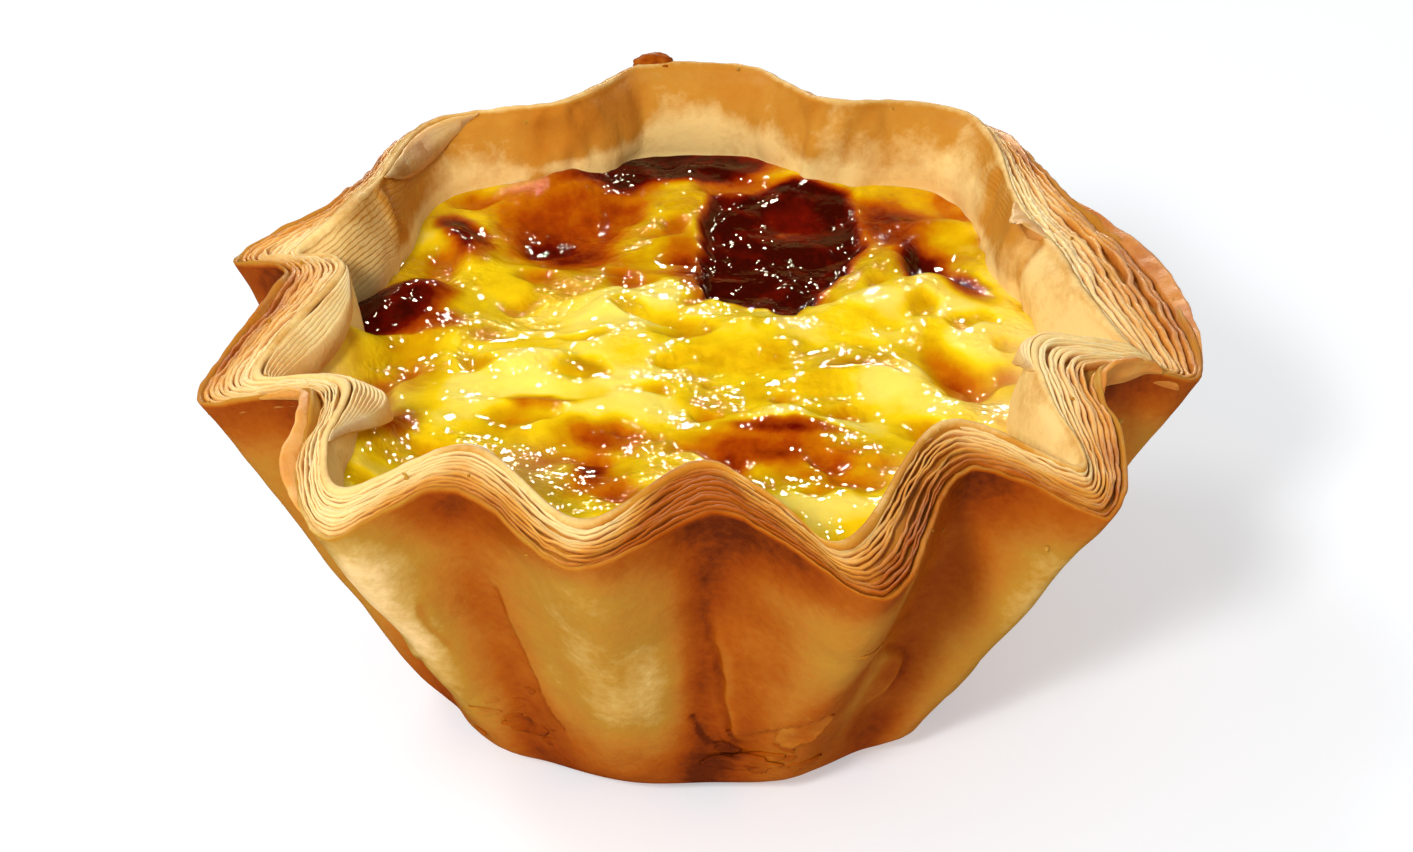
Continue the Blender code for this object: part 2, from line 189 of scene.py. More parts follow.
# Edges of sheets of dough on the wall, as lines of (azimuth at the foot, share of the height)
# walked with the raised side on the right, then how high it rises and how far it takes to sink.
SHEET_EDGES = (
    (((281.5, 0.23), (277.6, 0.24), (275.9, 0.34), (275.2, 0.48), (273.6, 0.6), (272.8, 0.76)),
     0.55, 5),
    (((247, 0.18), (244.4, 0.28), (242.9, 0.44), (242.2, 0.62), (240.8, 0.8)), 0.26, 4),
    (((212, 0.16), (219, 0.3), (226, 0.44), (230.8, 0.52))[::-1], 0.28, 3),
    (((302, 0.2), (308, 0.27), (308.6, 0.4), (303, 0.44), (297, 0.53))[::-1], 0.45, 3),
    (((60, 0.2), (56, 0.36), (58, 0.55), (55, 0.72)), 0.4, 4),
    (((140, 0.18), (136, 0.34), (137, 0.56), (133, 0.74)), 0.4, 4),
    (((20, 0.16), (12, 0.22), (5, 0.34), (0, 0.52))[::-1], 0.35, 4),
)
SHEET_SCALE = 0.52        # mm of wall for one degree at the foot, halfway up

# Fine splits in the wall: points as above, then half width and depth.
CRACKS = (
    (((234, 0.7), (233.7, 0.61), (234.4, 0.52)), 0.14, 0.05),
    (((242, 0.7), (242.5, 0.56), (242.7, 0.47), (244.5, 0.3), (246.5, 0.22)), 0.15, 0.16),
    (((270.6, 0.3), (272.6, 0.21), (275.5, 0.18), (279.9, 0.14)), 0.24, 0.2),
    (((330, 0.3), (336, 0.42), (339, 0.58)), 0.11, 0.15),
    (((35, 0.25), (40, 0.4), (43, 0.62)), 0.12, 0.22),
    (((92, 0.2), (94, 0.42), (91, 0.6)), 0.12, 0.22),
    (((140, 0.62), (143, 0.45), (141, 0.24)), 0.12, 0.22),
)

# How brown the wall is at places, over the general rule: azimuth at the foot, share of the
# height, half width in degrees, half height as a share, amount.
WALL_BROWNING = (
    (203, 0.85, 8, 0.3, -0.08),
    (231, 0.75, 6, 0.42, -0.32),
    (238.5, 0.5, 3.4, 0.5, 0.2),
    (239, 0.17, 6, 0.12, 0.06),
    (256, 0.58, 11.5, 0.4, -0.3),
    (256, 0.92, 9, 0.1, -0.22),
    (230, 0.92, 6, 0.1, -0.16),
    (272, 0.86, 6, 0.16, 0.1),
    (280, 0.06, 14, 0.08, 0.13),
    (250, 0.05, 14, 0.07, 0.06),
    (277, 0.9, 6, 0.1, 0.04),
    (295.5, 0.55, 4, 0.4, 0.24),
    (262, 0.7, 4, 0.2, 0.08),
    (247, 0.45, 3, 0.3, -0.16),
    (265.5, 0.55, 4, 0.4, -0.24),
    (262, 0.14, 14, 0.08, 0.06),
    (271.6, 0.52, 2.6, 0.42, 0.22),
    (277, 0.2, 5, 0.1, 0.1),
    (282, 0.72, 6, 0.25, 0.08),
    (292.5, 0.5, 3.5, 0.28, 0.14),
    (244.5, 0.3, 3, 0.2, 0.1),
    (287, 0.52, 5, 0.14, -0.08),
    (290, 0.2, 9, 0.14, 0.14),
    (288.8, 0.46, 3.6, 0.11, 0.36),
    (286.8, 0.33, 3.8, 0.08, 0.22),
    (279.9, 0.36, 3.8, 0.11, 0.22),
    (281, 0.52, 4, 0.1, 0.09),
    (277.8, 0.2, 3, 0.07, 0.1),
    (307.4, 0.25, 3, 0.1, -0.2),
    (272, 0.91, 2.6, 0.06, -0.12),
    (240.1, 0.15, 3.4, 0.07, -0.1),
    (236, 0.45, 2.6, 0.1, 0.06),
    (239.8, 0.8, 3, 0.1, -0.06),
    (304, 0.6, 3.5, 0.3, 0.1),
    (302, 0.34, 4, 0.12, -0.12),
    (309.5, 0.55, 3.8, 0.6, 0.2),
    (314, 0.66, 4.5, 0.28, -0.12),
    (317, 0.3, 7, 0.22, 0.04),
    (345, 0.84, 9, 0.2, 0.02),
)

# Scales of dough that have lifted from the wall: azimuth at the foot, height, length round the
# wall, length up it, turn, and how much browner than the wall.
SCALES = (
    (287.2, 11, 3.6, 6.2, -18, -0.1),  # rounded scale low on the deep flute
    (279.5, 5, 6, 2.6, 10, 0.04),  # crumbled edge under the front valley
    (238.5, 6.8, 3.6, 2, -25, 0.08),  # and under the valley to the left of it
    (290, 21.5, 6.2, 2.8, -12, -0.08),  # pale scale high on the deep flute
    (243.5, 4.8, 2.4, 1.4, -10, 0.06),
    (241.2, 11.2, 1.2, 0.9, 50, 0.1),
    (243.6, 6, 1.2, 1, 30, 0.12),
    (245.6, 4.4, 1.5, 0.9, -30, 0.14),
    (236.8, 7.8, 1.4, 0.9, 10, 0.12),
    (278, 8.6, 1.5, 1, 20, 0.1),
    (282, 4.2, 1.8, 1.1, -10, 0.12),
    (287, 6.4, 1.3, 0.9, 40, 0.1),
    (238.5, 9.6, 1.7, 1.1, 30, 0.05),
    (240.6, 8.4, 1.5, 1.2, -20, 0.12),
    (242.6, 7, 1.9, 0.9, 0, 0.08),
    (235.4, 10, 1.3, 0.8, 10, 0.1),
    (233.4, 8.6, 2.4, 0.9, -40, 0.05),
    (276.4, 6.6, 1.8, 1.2, 0, 0.1),
    (283.6, 6.4, 2.6, 1.3, 15, 0.08),
    (285.4, 8, 1.9, 1, -30, 0.1),
    (290.6, 5, 3, 1.2, 10, 0.04),
    (274.4, 4.8, 1.7, 0.8, 20, 0.12),
    (228, 4.6, 2, 0.8, 20, 0.1),
    (20, 9.5, 5, 2.6, 20, 0),
    (66, 13, 3.6, 5.5, 12, 0),
    (118, 8, 4.6, 2.4, -18, 0),
    (152, 16, 3.4, 5, 10, 0),
    (100, 18, 4.8, 2.6, 30, -0.05),
)
SCALE_THICKNESS = 0.42
SCALE_CURL = 0.34         # how far a scale's free edge stands off the wall
SCALE_ROOT = 0.4          # how far its middle reaches into the wall
SCALE_SPOKES = 40         # points round it
SCALE_RINGS = (0.25, 0.5, 0.7, 0.85, 0.95, 1.0)

# Leaves that stand apart from the stack: from and to azimuth at the foot, place across the lip
# (0 outer, 1 inner), height, lean outwards (inwards below 0), thickness, raggedness, paleness.
STRAY_LEAVES = (
    (205, 226, 0.02, 1.1, 0.9, 0.9, 0.15, 0.45),
    (333, 345, 0.02, 2, 0.5, 0.85, 0.25, 0.35),
    (351, 29, 0.03, 0.9, 1, 0.6, 0.2, 0.15),
    (18, 34, 0.97, 1, -3.2, 1.2, 0.7, 0.6),  # torn flap at the inner corner
    (158, 171, 0.45, 0.6, -0.5, 0.6, 0.4, 0.7),
    (38, 62, 0.25, 0.5, 0.4, 0.5, 0.3, 0.2),
    (116, 138, 0.2, 0.5, 0.4, 0.5, 0.3, 0.2),
)
LEAF_ROOT = 1.0           # how far such a leaf reaches down into the lip
FAN_HEIGHT = 0.22         # how far a leaf of a fan stands up

# Where leaves step down from the lip into the cup: from and to azimuth at the foot, how many
# leaves, how far each lies inwards of the one before and below it, how deep it reaches, paleness.
FANS = (
    (172, 204, 6, 0.36, 0.2, 1.8, 0.85),
    (203, 222, 8, 0.36, 0.2, 1.8, 0.9),
    (329, 346, 3, 0.4, 0.3, 2.2, 0.95),
    (118, 142, 3, 0.34, 0.3, 1.6, 0.7),
    (230, 244, 3, 0.36, 0.28, 1.6, 0.95),
)

# Crumbs: a browned one on the lip at the back, and the small ones.
CRUMB_AZIMUTH = 94.0
CRUMB_SIZE = (3.8, 2.2, 2.2)
CRUMB_LIFT = 0.5
CRUMB_RINGS = 24
CRUMB_SPOKES = 48
CRUMB_PLACE = 0.65        # across the lip
CRUMB_BROWNING = 0.30     # of the small crumbs
CRUMB_BUMPS = 1800.0      # their bumps, as a number for each metre
CRUMB_TURNS = ((0.0, 0.0, 0.0), (6.28, 6.28, 6.28))     # least and most, about each axis
CRUMB_STRETCH = ((0.25, 0.2, 0.12), (0.75, 0.5, 0.3))   # the same, along each axis

# How brown the rings of the lip are, from the outer edge to the inner one.
LIP_BROWNING = (0.62, 0.50, 0.46, 0.46, 0.46, 0.42, 0.38, 0.34, 0.26, 0.18, 0.12, 0.12, 0.14)

# How pale the lip is baked: azimuth, half width, amount.
LIP_PALENESS = (
    (208, 11, 0.5),
    (227, 9, 0.75),
    (338, 12, 0.4),
    (5, 14, 0.06),
    (30, 8, 0.3),
    (256, 9, 0.24),
    (271, 9, -0.8),
    (300, 8, -0.25),
    (292, 9, -0.12),
    (164, 10, 0.25),
    (120, 20, 0.1),
)

# The inside above the custard: bearing, half width in degrees, how far it swells inwards.
PILLOWS = (
    (90, 13, 1.8),
    (124, 10, 1),
    (56, 10, 1.4),
    (24, 5, 0.9),
    (12, 6, 1.1),
    (344, 6, 0.8),
    (150, 8, 0.8),
    (167, 8, 0.6),
    (325, 7, 0.6),
)
# Creases that run down between them: bearing, half width, depth.
CREASES = (
    (107.5, 1.8, 0.4),
    (72.5, 1.7, 0.4),
    (146, 1.6, 0.45),
    (40, 1.4, 0.4),
    (113, 1.1, 0.2),
    (66, 1, 0.18),
    (18, 1.2, 0.25),
)
# Where edges of thin leaves show inside the cup: bearing and half width in degrees, how far down
# they reach (1 at the custard), strength.
LEAFY_INSIDE = (
    (134, 10, 0.6, 0.8),
    (158, 11, 1, 1),
    (172, 7, 1, 0.8),
    (36, 9, 0.6, 0.5),
)
LEAFY_PITCH = 0.50        # from one leaf's edge to the next

# How brown the inside is over the general rule: bearing, drop from the lip (1 at the custard),
# half width in degrees, half height as a share, amount.
INSIDE_BROWNING = (
    (12, 0.5, 12, 0.8, -0.2),
    (40, 0.5, 10, 0.8, -0.06),
    (353, 0.5, 8, 0.8, -0.3),
    (334, 0.5, 14, 0.9, -0.3),
    (305, 0.4, 10, 0.8, -0.22),
    (190, 0.5, 16, 0.9, -0.28),
    (232, 0.5, 14, 0.9, -0.28),
    (90, 0.9, 20, 0.3, -0.26),
    (90, 0.3, 16, 0.4, 0.18),
    (56, 0.3, 14, 0.4, 0.08),
    (56, 0.7, 12, 0.4, -0.12),
    (100, 0.3, 5, 0.4, 0.12),
    (124, 0.3, 12, 0.4, 0.12),
    (148, 0.5, 12, 0.8, 0.04),
    (163, 0.5, 8, 0.8, -0.25),
    (112, 0.6, 4, 0.5, 0.14),
    (36, 0.6, 4, 0.6, 0.12),
)

# ------------------------------------------------------------------ numbers of the custard

CUSTARD_EDGE = 28.8       # height of its edge
CUSTARD_CROWN = 0.3       # how much higher its middle lies
CUSTARD_CLEARANCE = 0.35  # kept to the floor of the cup
CUSTARD_BITE = 0.5        # how far the custard's rim reaches into the pastry, so no gap shows
POCKETS = (               # azimuth, spread, rise of its edge
    (186, 8, 3.9),
    (199, 9, 3.7),
    (212, 8, 3.2),
    (225, 8, 1.8),
    (110, 9, 2),
    (72, 8, 1.3),
)
CUSTARD_COLUMNS = 600
CUSTARD_RINGS = 128
SETTLE = 0.22             # share of the radius over which the top runs down to its edge

# Swells and sunken patches of the top: x, y, half length, half width, turn, height.
SWELLS = (
    (-10.5, 22, 6.5, 5, 20, -1.5),  # brown hollow on the left at the back
    (0, 34, 7, 2.2, 0, 0.8),  # scorched ridge at the back wall
    (-25, 8, 6.2, 3.6, 45, 2),  # dark blisters on the left
    (-19.8, 20.5, 4.5, 2, 120, 1.2),
    (21.5, 15.5, 5.6, 2, -58, -1.5),  # dark groove on the right
    (16.5, 17, 6.5, 1.5, 60, 1.1),  # ridge between the pit and the groove
    (22, 23, 4, 1.6, -10, 0.9),
    (17, 9, 7, 2.4, 40, 1.2),  # fold in front of the groove
    (-21, 3.5, 4.5, 3.6, 0, 1.3),
    (21.8, -3, 5, 2.4, -62, -1.9),  # pit by the front right fold
    (4.5, 1.5, 5, 3.6, 10, 1.3),  # pillowy middle
    (-5.5, 1.5, 5, 3.4, -10, 1.1),
    (12, -3.5, 5, 3.2, 20, 0.9),
    (-13, -2.5, 6.5, 1.8, -8, 1),
    (-12.5, -7, 5, 1.2, -5, -0.7),
    (-12.5, 8, 3.6, 3.2, 0, -1),
    (-7, 7.5, 4, 1.6, 15, 0.7),
    (6, -12, 6, 2.4, 5, 0.9),
    (-7, -15, 3.4, 5.5, 0, -0.9),
)

# The scorched pit: its corners, its depth and how sharply its side falls.
PIT = ((1.9, 29.2), (8.7, 30.6), (13.4, 29), (14.9, 21.6), (12.6, 14.6), (10.2, 9.8), (8.4, 5.9),
       (6.6, 8.4), (3.6, 8.8), (0.7, 9.3), (0.9, 19.5))
PIT_DEPTH = 2.1
PIT_SLOPE = 1.1
PIT_REAR = 30.0           # y of its rear edge
PIT_LENGTH = 18.0         # over which its floor goes on falling
PIT_MIDDLE = (8.5, 25.5, 3.6, 3.6, 0)

# Browned places, and painted shade under the front lip: x, y, half length, half width, turn,
# amount, hardness of the edge.
BROWNED_AND_SHADED = (
    (-2.4, 34.8, 8.8, 3.2, 0, 0.9, 3),  # band at the back wall
    (-5.5, 31, 2.4, 1.8, 0, 0.5, 1.5),
    # This row and the next paint shade and warm bounce light under the front lip
    (-15, -18, 6, 3.2, -30, 0.15, 1.2),  # shade under the front lip
    (12, -19, 7, 3, 25, 0.16, 1.2),
    (-0.6, 19.5, 2, 6, 0, 0.24, 1.2),  # golden ridge left of the pit
    (-4, 27, 3.6, 2.4, 0, 0.12, 1.2),
    (-22, -4, 4, 3, 0, 0.08, 1.2),
    (-10.5, 22.5, 6, 7, 0, 0.42, 1.2),  # hollow on the left at the back
    (-9.8, 20.5, 3, 4, -15, 0.14, 1.2),
    (-8.5, 31, 4.5, 2.4, -10, 0.28, 1.4),
    (10, -2, 12, 7, 0, -0.09, 1),  # the palest part
    (-12, -8, 6, 3, 0, -0.05, 1),
    (-25, 7, 6.6, 3.6, 46, 0.78, 3),  # dark blister
    (-19.2, 20.8, 4.4, 1.8, 115, 0.72, 2),
    (17, 24.5, 3.4, 4, 0, 0.5, 1.5),  # amber beside the pit
    (21.3, 14.6, 6, 2.1, -62, 0.8, 2),  # groove
    (19.8, 18, 2.2, 1.8, 0, 0.4, 1.5),
    (21.2, -1.4, 4.4, 1.9, -62, 0.34, 1.4),  # pit by the front right fold
    (-21.2, 4.4, 2.4, 1.8, 0, 0.42, 1.2),  # top of the left hill
    (-31.5, -3.4, 3.4, 1.2, 12, 0.55, 1.4),  # left pocket
    (-25, -13.8, 4.6, 1.9, 50, 0.58, 1.4),
    (-11.8, -8, 3.2, 0.9, -4, 0.46, 1.4),  # streak under the fold
    (-6.8, -12.6, 3.2, 2.2, -20, 0.52, 1.4),
    (-7.8, -17.8, 1.6, 2.6, 0, 0.46, 1.4),
    (0.3, 13, 1.6, 4.5, 0, 0.4, 1.3),
    (8, -13.2, 5, 0.9, -6, 0.46, 2),  # thin red line of the patch at the front
    (5.4, -15.4, 6.2, 2.2, -4, 0.34, 1.6),
    (8, -16, 6, 2.6, 0, 0.17, 1.3),
    (-6, -21, 4, 3, 0, 0.16, 1.3),
    (-3, 13.5, 4.5, 1.8, 10, 0.22, 1.2),
)

# Where the custard lies thin over pastry, or has foamed, and looks milky:
# x, y, half length, half width, turn, amount.
MILKY = (
    (-31.5, 0, 3, 4.5, 0, 0.6),
    (-29, -8.5, 4.5, 3, -50, 0.65),
    (-26, -9.5, 2.2, 4.5, -35, 0.45),
    (-12.8, -19, 2.4, 3.8, 0, 0.3),
    (28.5, -1, 2.6, 6, 0, 0.6),
    (25, -9.5, 2.2, 5, 20, 0.6),
    (20, -19, 3.5, 3, 0, 0.25),
    (-31, 14, 2.6, 5, 20, 0.3),
)

# ------------------------------------------------------------------ numbers of the stage

IMAGE_WIDTH, IMAGE_HEIGHT = 1413, 852
SOLE_SPOT = (690, 655)                # where the middle of the sole lies in the photo
GROUND_HALF = 3.0                     # half the ground's side, in metres
ROOM_COLOUR = (0.97, 0.985, 1.0)
GLINT_COLOUR = (1.0, 0.82, 0.62)      # gloss on browned sugar looks warm
LAMP_AIM = (0.0, 0.0, 0.02)           # the point that all lamps face
KEY_LAMP = ((-0.225, -0.61, 0.47), 0.12)    # place and side in metres
SIDE_LAMP = ((-0.42, 0.12, 0.66), 0.22)
GLINT_SIDE = 0.045
GLINT_LAMPS = (           # places of the small lamps behind the tart
    (-0.20, 0.62, 0.42),
    (0.22, 0.52, 0.56),
    (0.04, 0.72, 0.26),
    (-0.42, 0.42, 0.40),
    (0.46, 0.46, 0.34),
    (-0.34, 0.18, 0.66),
)


# ------------------------------------------------------------------ colour and nodes

VECTOR_MATH = "ShaderNodeVectorMath"
NOISE = "ShaderNodeTexNoise"
RAMP = "ShaderNodeValToRGB"
MIX = "ShaderNodeMix"
BUMP = "ShaderNodeBump"
ATTRIBUTE = "ShaderNodeAttribute"
NAMED_ATTRIBUTE = "GeometryNodeInputNamedAttribute"
STORE_ATTRIBUTE = "GeometryNodeStoreNamedAttribute"
SHADER = "ShaderNodeBsdfPrincipled"
OUTPUT = "ShaderNodeOutputMaterial"


def linear(code):
    """The linear RGB of an sRGB hex colour."""
    channels = (int(code[k:k + 2], 16) / 255.0 for k in (1, 3, 5))
    return tuple(c / 12.92 if c <= 0.04045 else ((c + 0.055) / 1.055) ** 2.4 for c in channels)


def node(tree, kind, *inputs, **settings):
    """Adds a node with its settings; its inputs come in order, or in one dictionary by name.

    A kind in capitals is the operation of a math node. An input is a value, a socket to link
    from, or a node, whose first output is linked.
    """
    if kind.isupper():
        settings["operation"] = kind
        kind = "ShaderNodeMath"
    made = tree.nodes.new(kind)
    for name, value in settings.items():
        setattr(made, name, value)
    by_name = inputs[0] if inputs and isinstance(inputs[0], dict) else dict(enumerate(inputs))
    for name, value in by_name.items():
        if isinstance(value, bpy.types.Node):
            value = value.outputs[0]
        if isinstance(value, bpy.types.NodeSocket):
            tree.links.new(value, made.inputs[name])
        else:
            made.inputs[name].default_value = value
    return made


def paint_ramp(ramp, **stops):
    """Sets a ramp's stops: the name of a colour property, and how far along the ramp it lies."""
    elements = ramp.color_ramp.elements
    elements.remove(elements[-1])
    for number, (name, place) in enumerate(stops.items()):
        element = elements.new(place) if number else elements[0]
        element.position = place
        element.color = (*getattr(bpy.context.scene.tart_colours, name), 1.0)


def new_material(name):
    """An empty material, the function that adds its nodes, and the piece's own coordinates."""
    material = bpy.data.materials.new(name)
    material.use_nodes = True
    material.node_tree.nodes.clear()
    add = partial(node, material.node_tree)
    return material, add, add("ShaderNodeTexCoord").outputs["Object"]


def per_mm(size):
    """Scale of a texture in Object coordinates whose features are `size` millimetres."""
    return 1.0 / (size * MM)


# ------------------------------------------------------------------ properties

def length(name, description, default):
    """A property in metres."""
    return bpy.props.FloatProperty(name=name, description=description, default=default,
                                   unit="LENGTH", precision=5, min=0.0)


def watts(name, description, default):
    """A property for the power of a lamp."""
    return bpy.props.FloatProperty(name=name, description=description, default=default,
                                   unit="POWER")


def colour(name, description, code):
    """A property for a colour, whose default is an sRGB hex code."""
    return bpy.props.FloatVectorProperty(name=name, description=description, default=linear(code),
                                         subtype="COLOR", size=3, min=0.0, max=1.0)


class TartSizes(bpy.types.PropertyGroup):
    """Sizes of the relief and the leaves."""
    leaves: bpy.props.IntProperty(
        name="Leaves", description="Leaves between the outermost and the innermost one",
        default=10, min=2, max=20)
    leaf_depth: length("Leaf depth", "How far a leaf reaches down into the lip", 0.0012)
    leaf_wander: length("Leaf wander", "How far a loose leaf strays sideways", 0.00040)
    leaf_wave: length("Leaf wave", "How far a leaf's edge wanders up and down", 0.00024)
    leaf_fray: length("Leaf fray", "Height of the fine raggedness of a leaf's edge", 0.00010)
    wall_puff: length("Wall puffs", "Height of the soft unevenness of the wall", 0.00034)
    custard_lumps: length("Custard lumps", "Height of the pillows of the custard", 0.0010)
    custard_creases: length("Custard creases", "Depth of the dimples of the custard", 0.0007)
    crumbs: bpy.props.IntProperty(
        name="Crumbs", description="Crumbs of pastry on the tart", default=60, min=0, max=1000)
    crumb_size: length("Crumb size", "Length of a common crumb", 0.0005)


class TartColours(bpy.types.PropertyGroup):
    """Colours of the pastry, the custard and the ground."""
    crust_cream: colour("Cream crust", "Inside of the cup, out of the heat", "#e8c283")
    crust_pale: colour("Pale crust", "Crest of a flute, least baked", "#c59c50")
    crust_gold: colour("Golden crust", "Most of the crests", "#b07d27")
    crust_honey: colour("Honey crust", "Flanks of the flutes", "#b06c1f")
    crust_orange: colour("Orange crust", "Valleys between flutes", "#a2500b")
    # Under the lip this darker crust stands in part for painted shade
    crust_brown: colour("Brown crust", "Under the lip and near the base", "#8d3a04")
    crust_dark: colour("Dark crust", "Scorched spots", "#5c2106")
    inside_cream: colour("Cream inside", "Inside of the cup where it stayed pale", "#ecc880")
    inside_gold: colour("Golden inside", "Most of the inside of the cup", "#c4852e")
    inside_honey: colour("Honey inside", "Inside of the cup near the lip", "#bd7420")
    inside_brown: colour("Brown inside", "Creases of the inside", "#87450f")
    leaf_cream: colour("Cream leaf", "Innermost leaves", "#f2cd8a")
    leaf_gold: colour("Golden leaf", "Edges of the leaves", "#d6923a")
    leaf_caramel: colour("Caramel leaf", "Outer leaves' edges", "#a2500c")
    # The gap colour is in part painted shade between the leaves
    leaf_gap: colour("Gap", "Depth between two leaves", "#cf7426")
    # The pale crests and golden hollows of the custard are in part painted light and painted shade
    custard_pale: colour("Pale custard", "Crests of the custard", "#f9dc5e")
    custard_yellow: colour("Custard", "Set egg custard", "#f3ca10")
    custard_golden: colour("Golden custard", "Hollows of the custard", "#d39e05")
    custard_orange: colour("Orange custard", "Custard near a browned place", "#c06a04")
    custard_amber: colour("Amber custard", "Browned custard", "#a23f04")
    custard_red: colour("Caramelised custard", "Strongly browned custard", "#680e03")
    custard_burnt: colour("Burnt custard", "Middle of a scorched patch", "#3a0802")
    custard_milk: colour("Milky custard", "Thin or foamed custard at the pastry", "#eec07a")
    ground: colour("Ground", "Seamless ground", "#cdd0d3")


class TartStage(bpy.types.PropertyGroup):
    """Camera and light."""
    elevation: bpy.props.FloatProperty(
        name="Elevation", description="Angle of the view above the ground",
        default=math.radians(32.0), subtype="ANGLE")
    distance: length("Distance", "From the camera to the middle of the sole", 0.420)
    width: length("Width seen", "Width of the picture at the middle of the sole", 0.120)
    key_watts: watts("Key light", "Softbox at the front, a little to the left", 4.7)
    side_watts: watts("Side light", "Softbox high on the left", 1.4)
    glint_watts: watts("Glint lamps", "Each of the small lamps behind that show in the gloss", 4.2)
    surround: bpy.props.FloatProperty(
        name="Surround", description="Brightness of the white room", default=0.50, min=0.0)
    ground_glow: bpy.props.FloatProperty(
        name="Ground glow", description="Light from below through the ground", default=0.42,
        min=0.0)


# ------------------------------------------------------------------ shape functions

def polar(azimuth, radius, height):
    """The point at an azimuth in degrees, a radius and a height."""
    angle = math.radians(azimuth)
    return np.array((radius * math.cos(angle), radius * math.sin(angle), height))


def closed_curve(points, steps=40):
    """A smooth closed curve through the points (centripetal Catmull-Rom)."""
    curve = []
    count = len(points)
    for i in range(count):
        corners = [points[(i + k) % count] for k in (-1, 0, 1, 2)]
        knots = np.cumsum([0.0] + [math.sqrt(np.linalg.norm(b[:3] - a[:3]))
                                   for a, b in zip(corners, corners[1:])])
        for t in np.linspace(knots[1], knots[2], steps, endpoint=False):
            blend = corners
            for spans in (((0, 1), (1, 2), (2, 3)), ((0, 2), (1, 3)), ((1, 2),)):
                blend = [((knots[high] - t) * a + (t - knots[low]) * b) / (knots[high] - knots[low])
                         for (low, high), a, b in zip(spans, blend, blend[1:])]
            curve.append(blend[0])
    return np.array(curve)


def rim_edges(count):
    """Outer edge, inner edge and azimuth at the foot of each column; columns crowd at bends."""
    rows = []
    turn = 0.0
    for azimuth, radius, height, lip, rise, lean in FOLDS:
        if rows and azimuth + turn < rows[-1][6]:
            turn = 360.0
        outer = polar(azimuth, radius, height)
        inner = polar(azimuth + lean, radius - lip, height + rise)
        rows.append(np.array((*outer, *inner, azimuth + turn)))
    # The azimuth climbs by a full turn, so its ramp is taken off before the curve is closed
    for row, share in zip(rows, np.linspace(0.0, 360.0, len(rows), endpoint=False)):
        row[6] -= share
    curve = closed_curve(rows)
    curve[:, 6] += np.linspace(0.0, 360.0, len(curve), endpoint=False)
    steps = np.roll(curve, -1, axis=0)[:, :3] - curve[:, :3]
    lengths = np.linalg.norm(steps, axis=1)
    bends = np.linalg.norm(np.roll(steps, -1, axis=0) / np.roll(lengths, -1)[:, None]
                           - steps / lengths[:, None], axis=1)
    along = np.concatenate(([0.0], np.cumsum(lengths + BEND_CROWDING * bends)))
    wanted = np.linspace(0.0, along[-1], count, endpoint=False)
    closed = np.vstack((curve, curve[:1]))
    closed[-1, 6] += 360.0
    even = np.column_stack([np.interp(wanted, along, closed[:, k]) for k in range(7)])
    outer, inner, turn = even[:, :3], even[:, 3:6], np.radians(even[:, 6])
    return smoothed(outer, 4), smoothed(keep_lip_open(outer, inner), 4), turn


def smoothed(points, rounds):
    """Evens a closed line of points out, so that no corner of the coarser curve shows."""
    for _ in range(rounds):
        points = (np.roll(points, 1, axis=0) + 2.0 * points + np.roll(points, -1, axis=0)) / 4.0
    return points


def keep_lip_open(outer, inner):
    """Moves the inner edge inwards wherever the lip would be thinner than LIP_LEAST."""
    along = np.roll(outer, -1, axis=0) - np.roll(outer, 1, axis=0)
    inwards = np.column_stack((-along[:, 1], along[:, 0], np.zeros(len(along))))
    inwards /= np.linalg.norm(inwards, axis=1)[:, None]
    width = np.sum((inner - outer) * inwards, axis=1)
    push = np.maximum(0.0, LIP_LEAST - width)
    return inner + inwards * smoothed(push, len(outer) // COLUMNS_A_ROUND)[:, None]


def circle(turn, radius, height):
    """Points of a level circle under the rim's columns; radius may be one value a column."""
    radius = np.broadcast_to(radius, turn.shape)
    return np.column_stack((radius * np.cos(turn), radius * np.sin(turn),
                            np.full(len(turn), height)))


def hump(azimuth, centre, spread):
    """A smooth hump of height 1 round an azimuth; all three are in degrees."""
    off = (azimuth - centre + 180.0) % 360.0 - 180.0
    return np.exp(-(off / spread) ** 2)


def smooth_noise(points, size, seed):
    """Smooth noise of -1 to 1 at every point, with features about as large as the size."""
    shift = Vector((seed * 7.3, seed * 3.1, seed * 5.7))
    flat = np.asarray(points, float).reshape(-1, 3) / size
    values = np.fromiter((noise.noise(Vector(p) + shift) for p in flat), float, len(flat))
    return values.reshape(np.shape(points)[:-1])


def noise_layers(points, *layers):
    """A sum of smooth noises; a layer is how strong it is, its size and its seed."""
    return sum(strength * smooth_noise(points, size, seed) for strength, size, seed in layers)


def humps(azimuth, rows):
    """A sum of humps; a row is the azimuth of the middle, the spread and the height."""
    return sum(height * hump(azimuth, centre, spread) for centre, spread, height in rows)


def patches(azimuth, level, rows):
    """A sum of soft patches; a row is the middle's azimuth and level, both spreads, the amount."""
    return sum(amount * hump(azimuth, centre, spread) * np.exp(-((level - middle) / rise) ** 2)
               for centre, middle, spread, rise, amount in rows)


def smoothstep(value, low, high):
    """0 below the low value, 1 above the high one, and a smooth rise between them."""
    share = np.clip((value - low) / (high - low), 0.0, 1.0)
    return share * share * (3.0 - 2.0 * share)


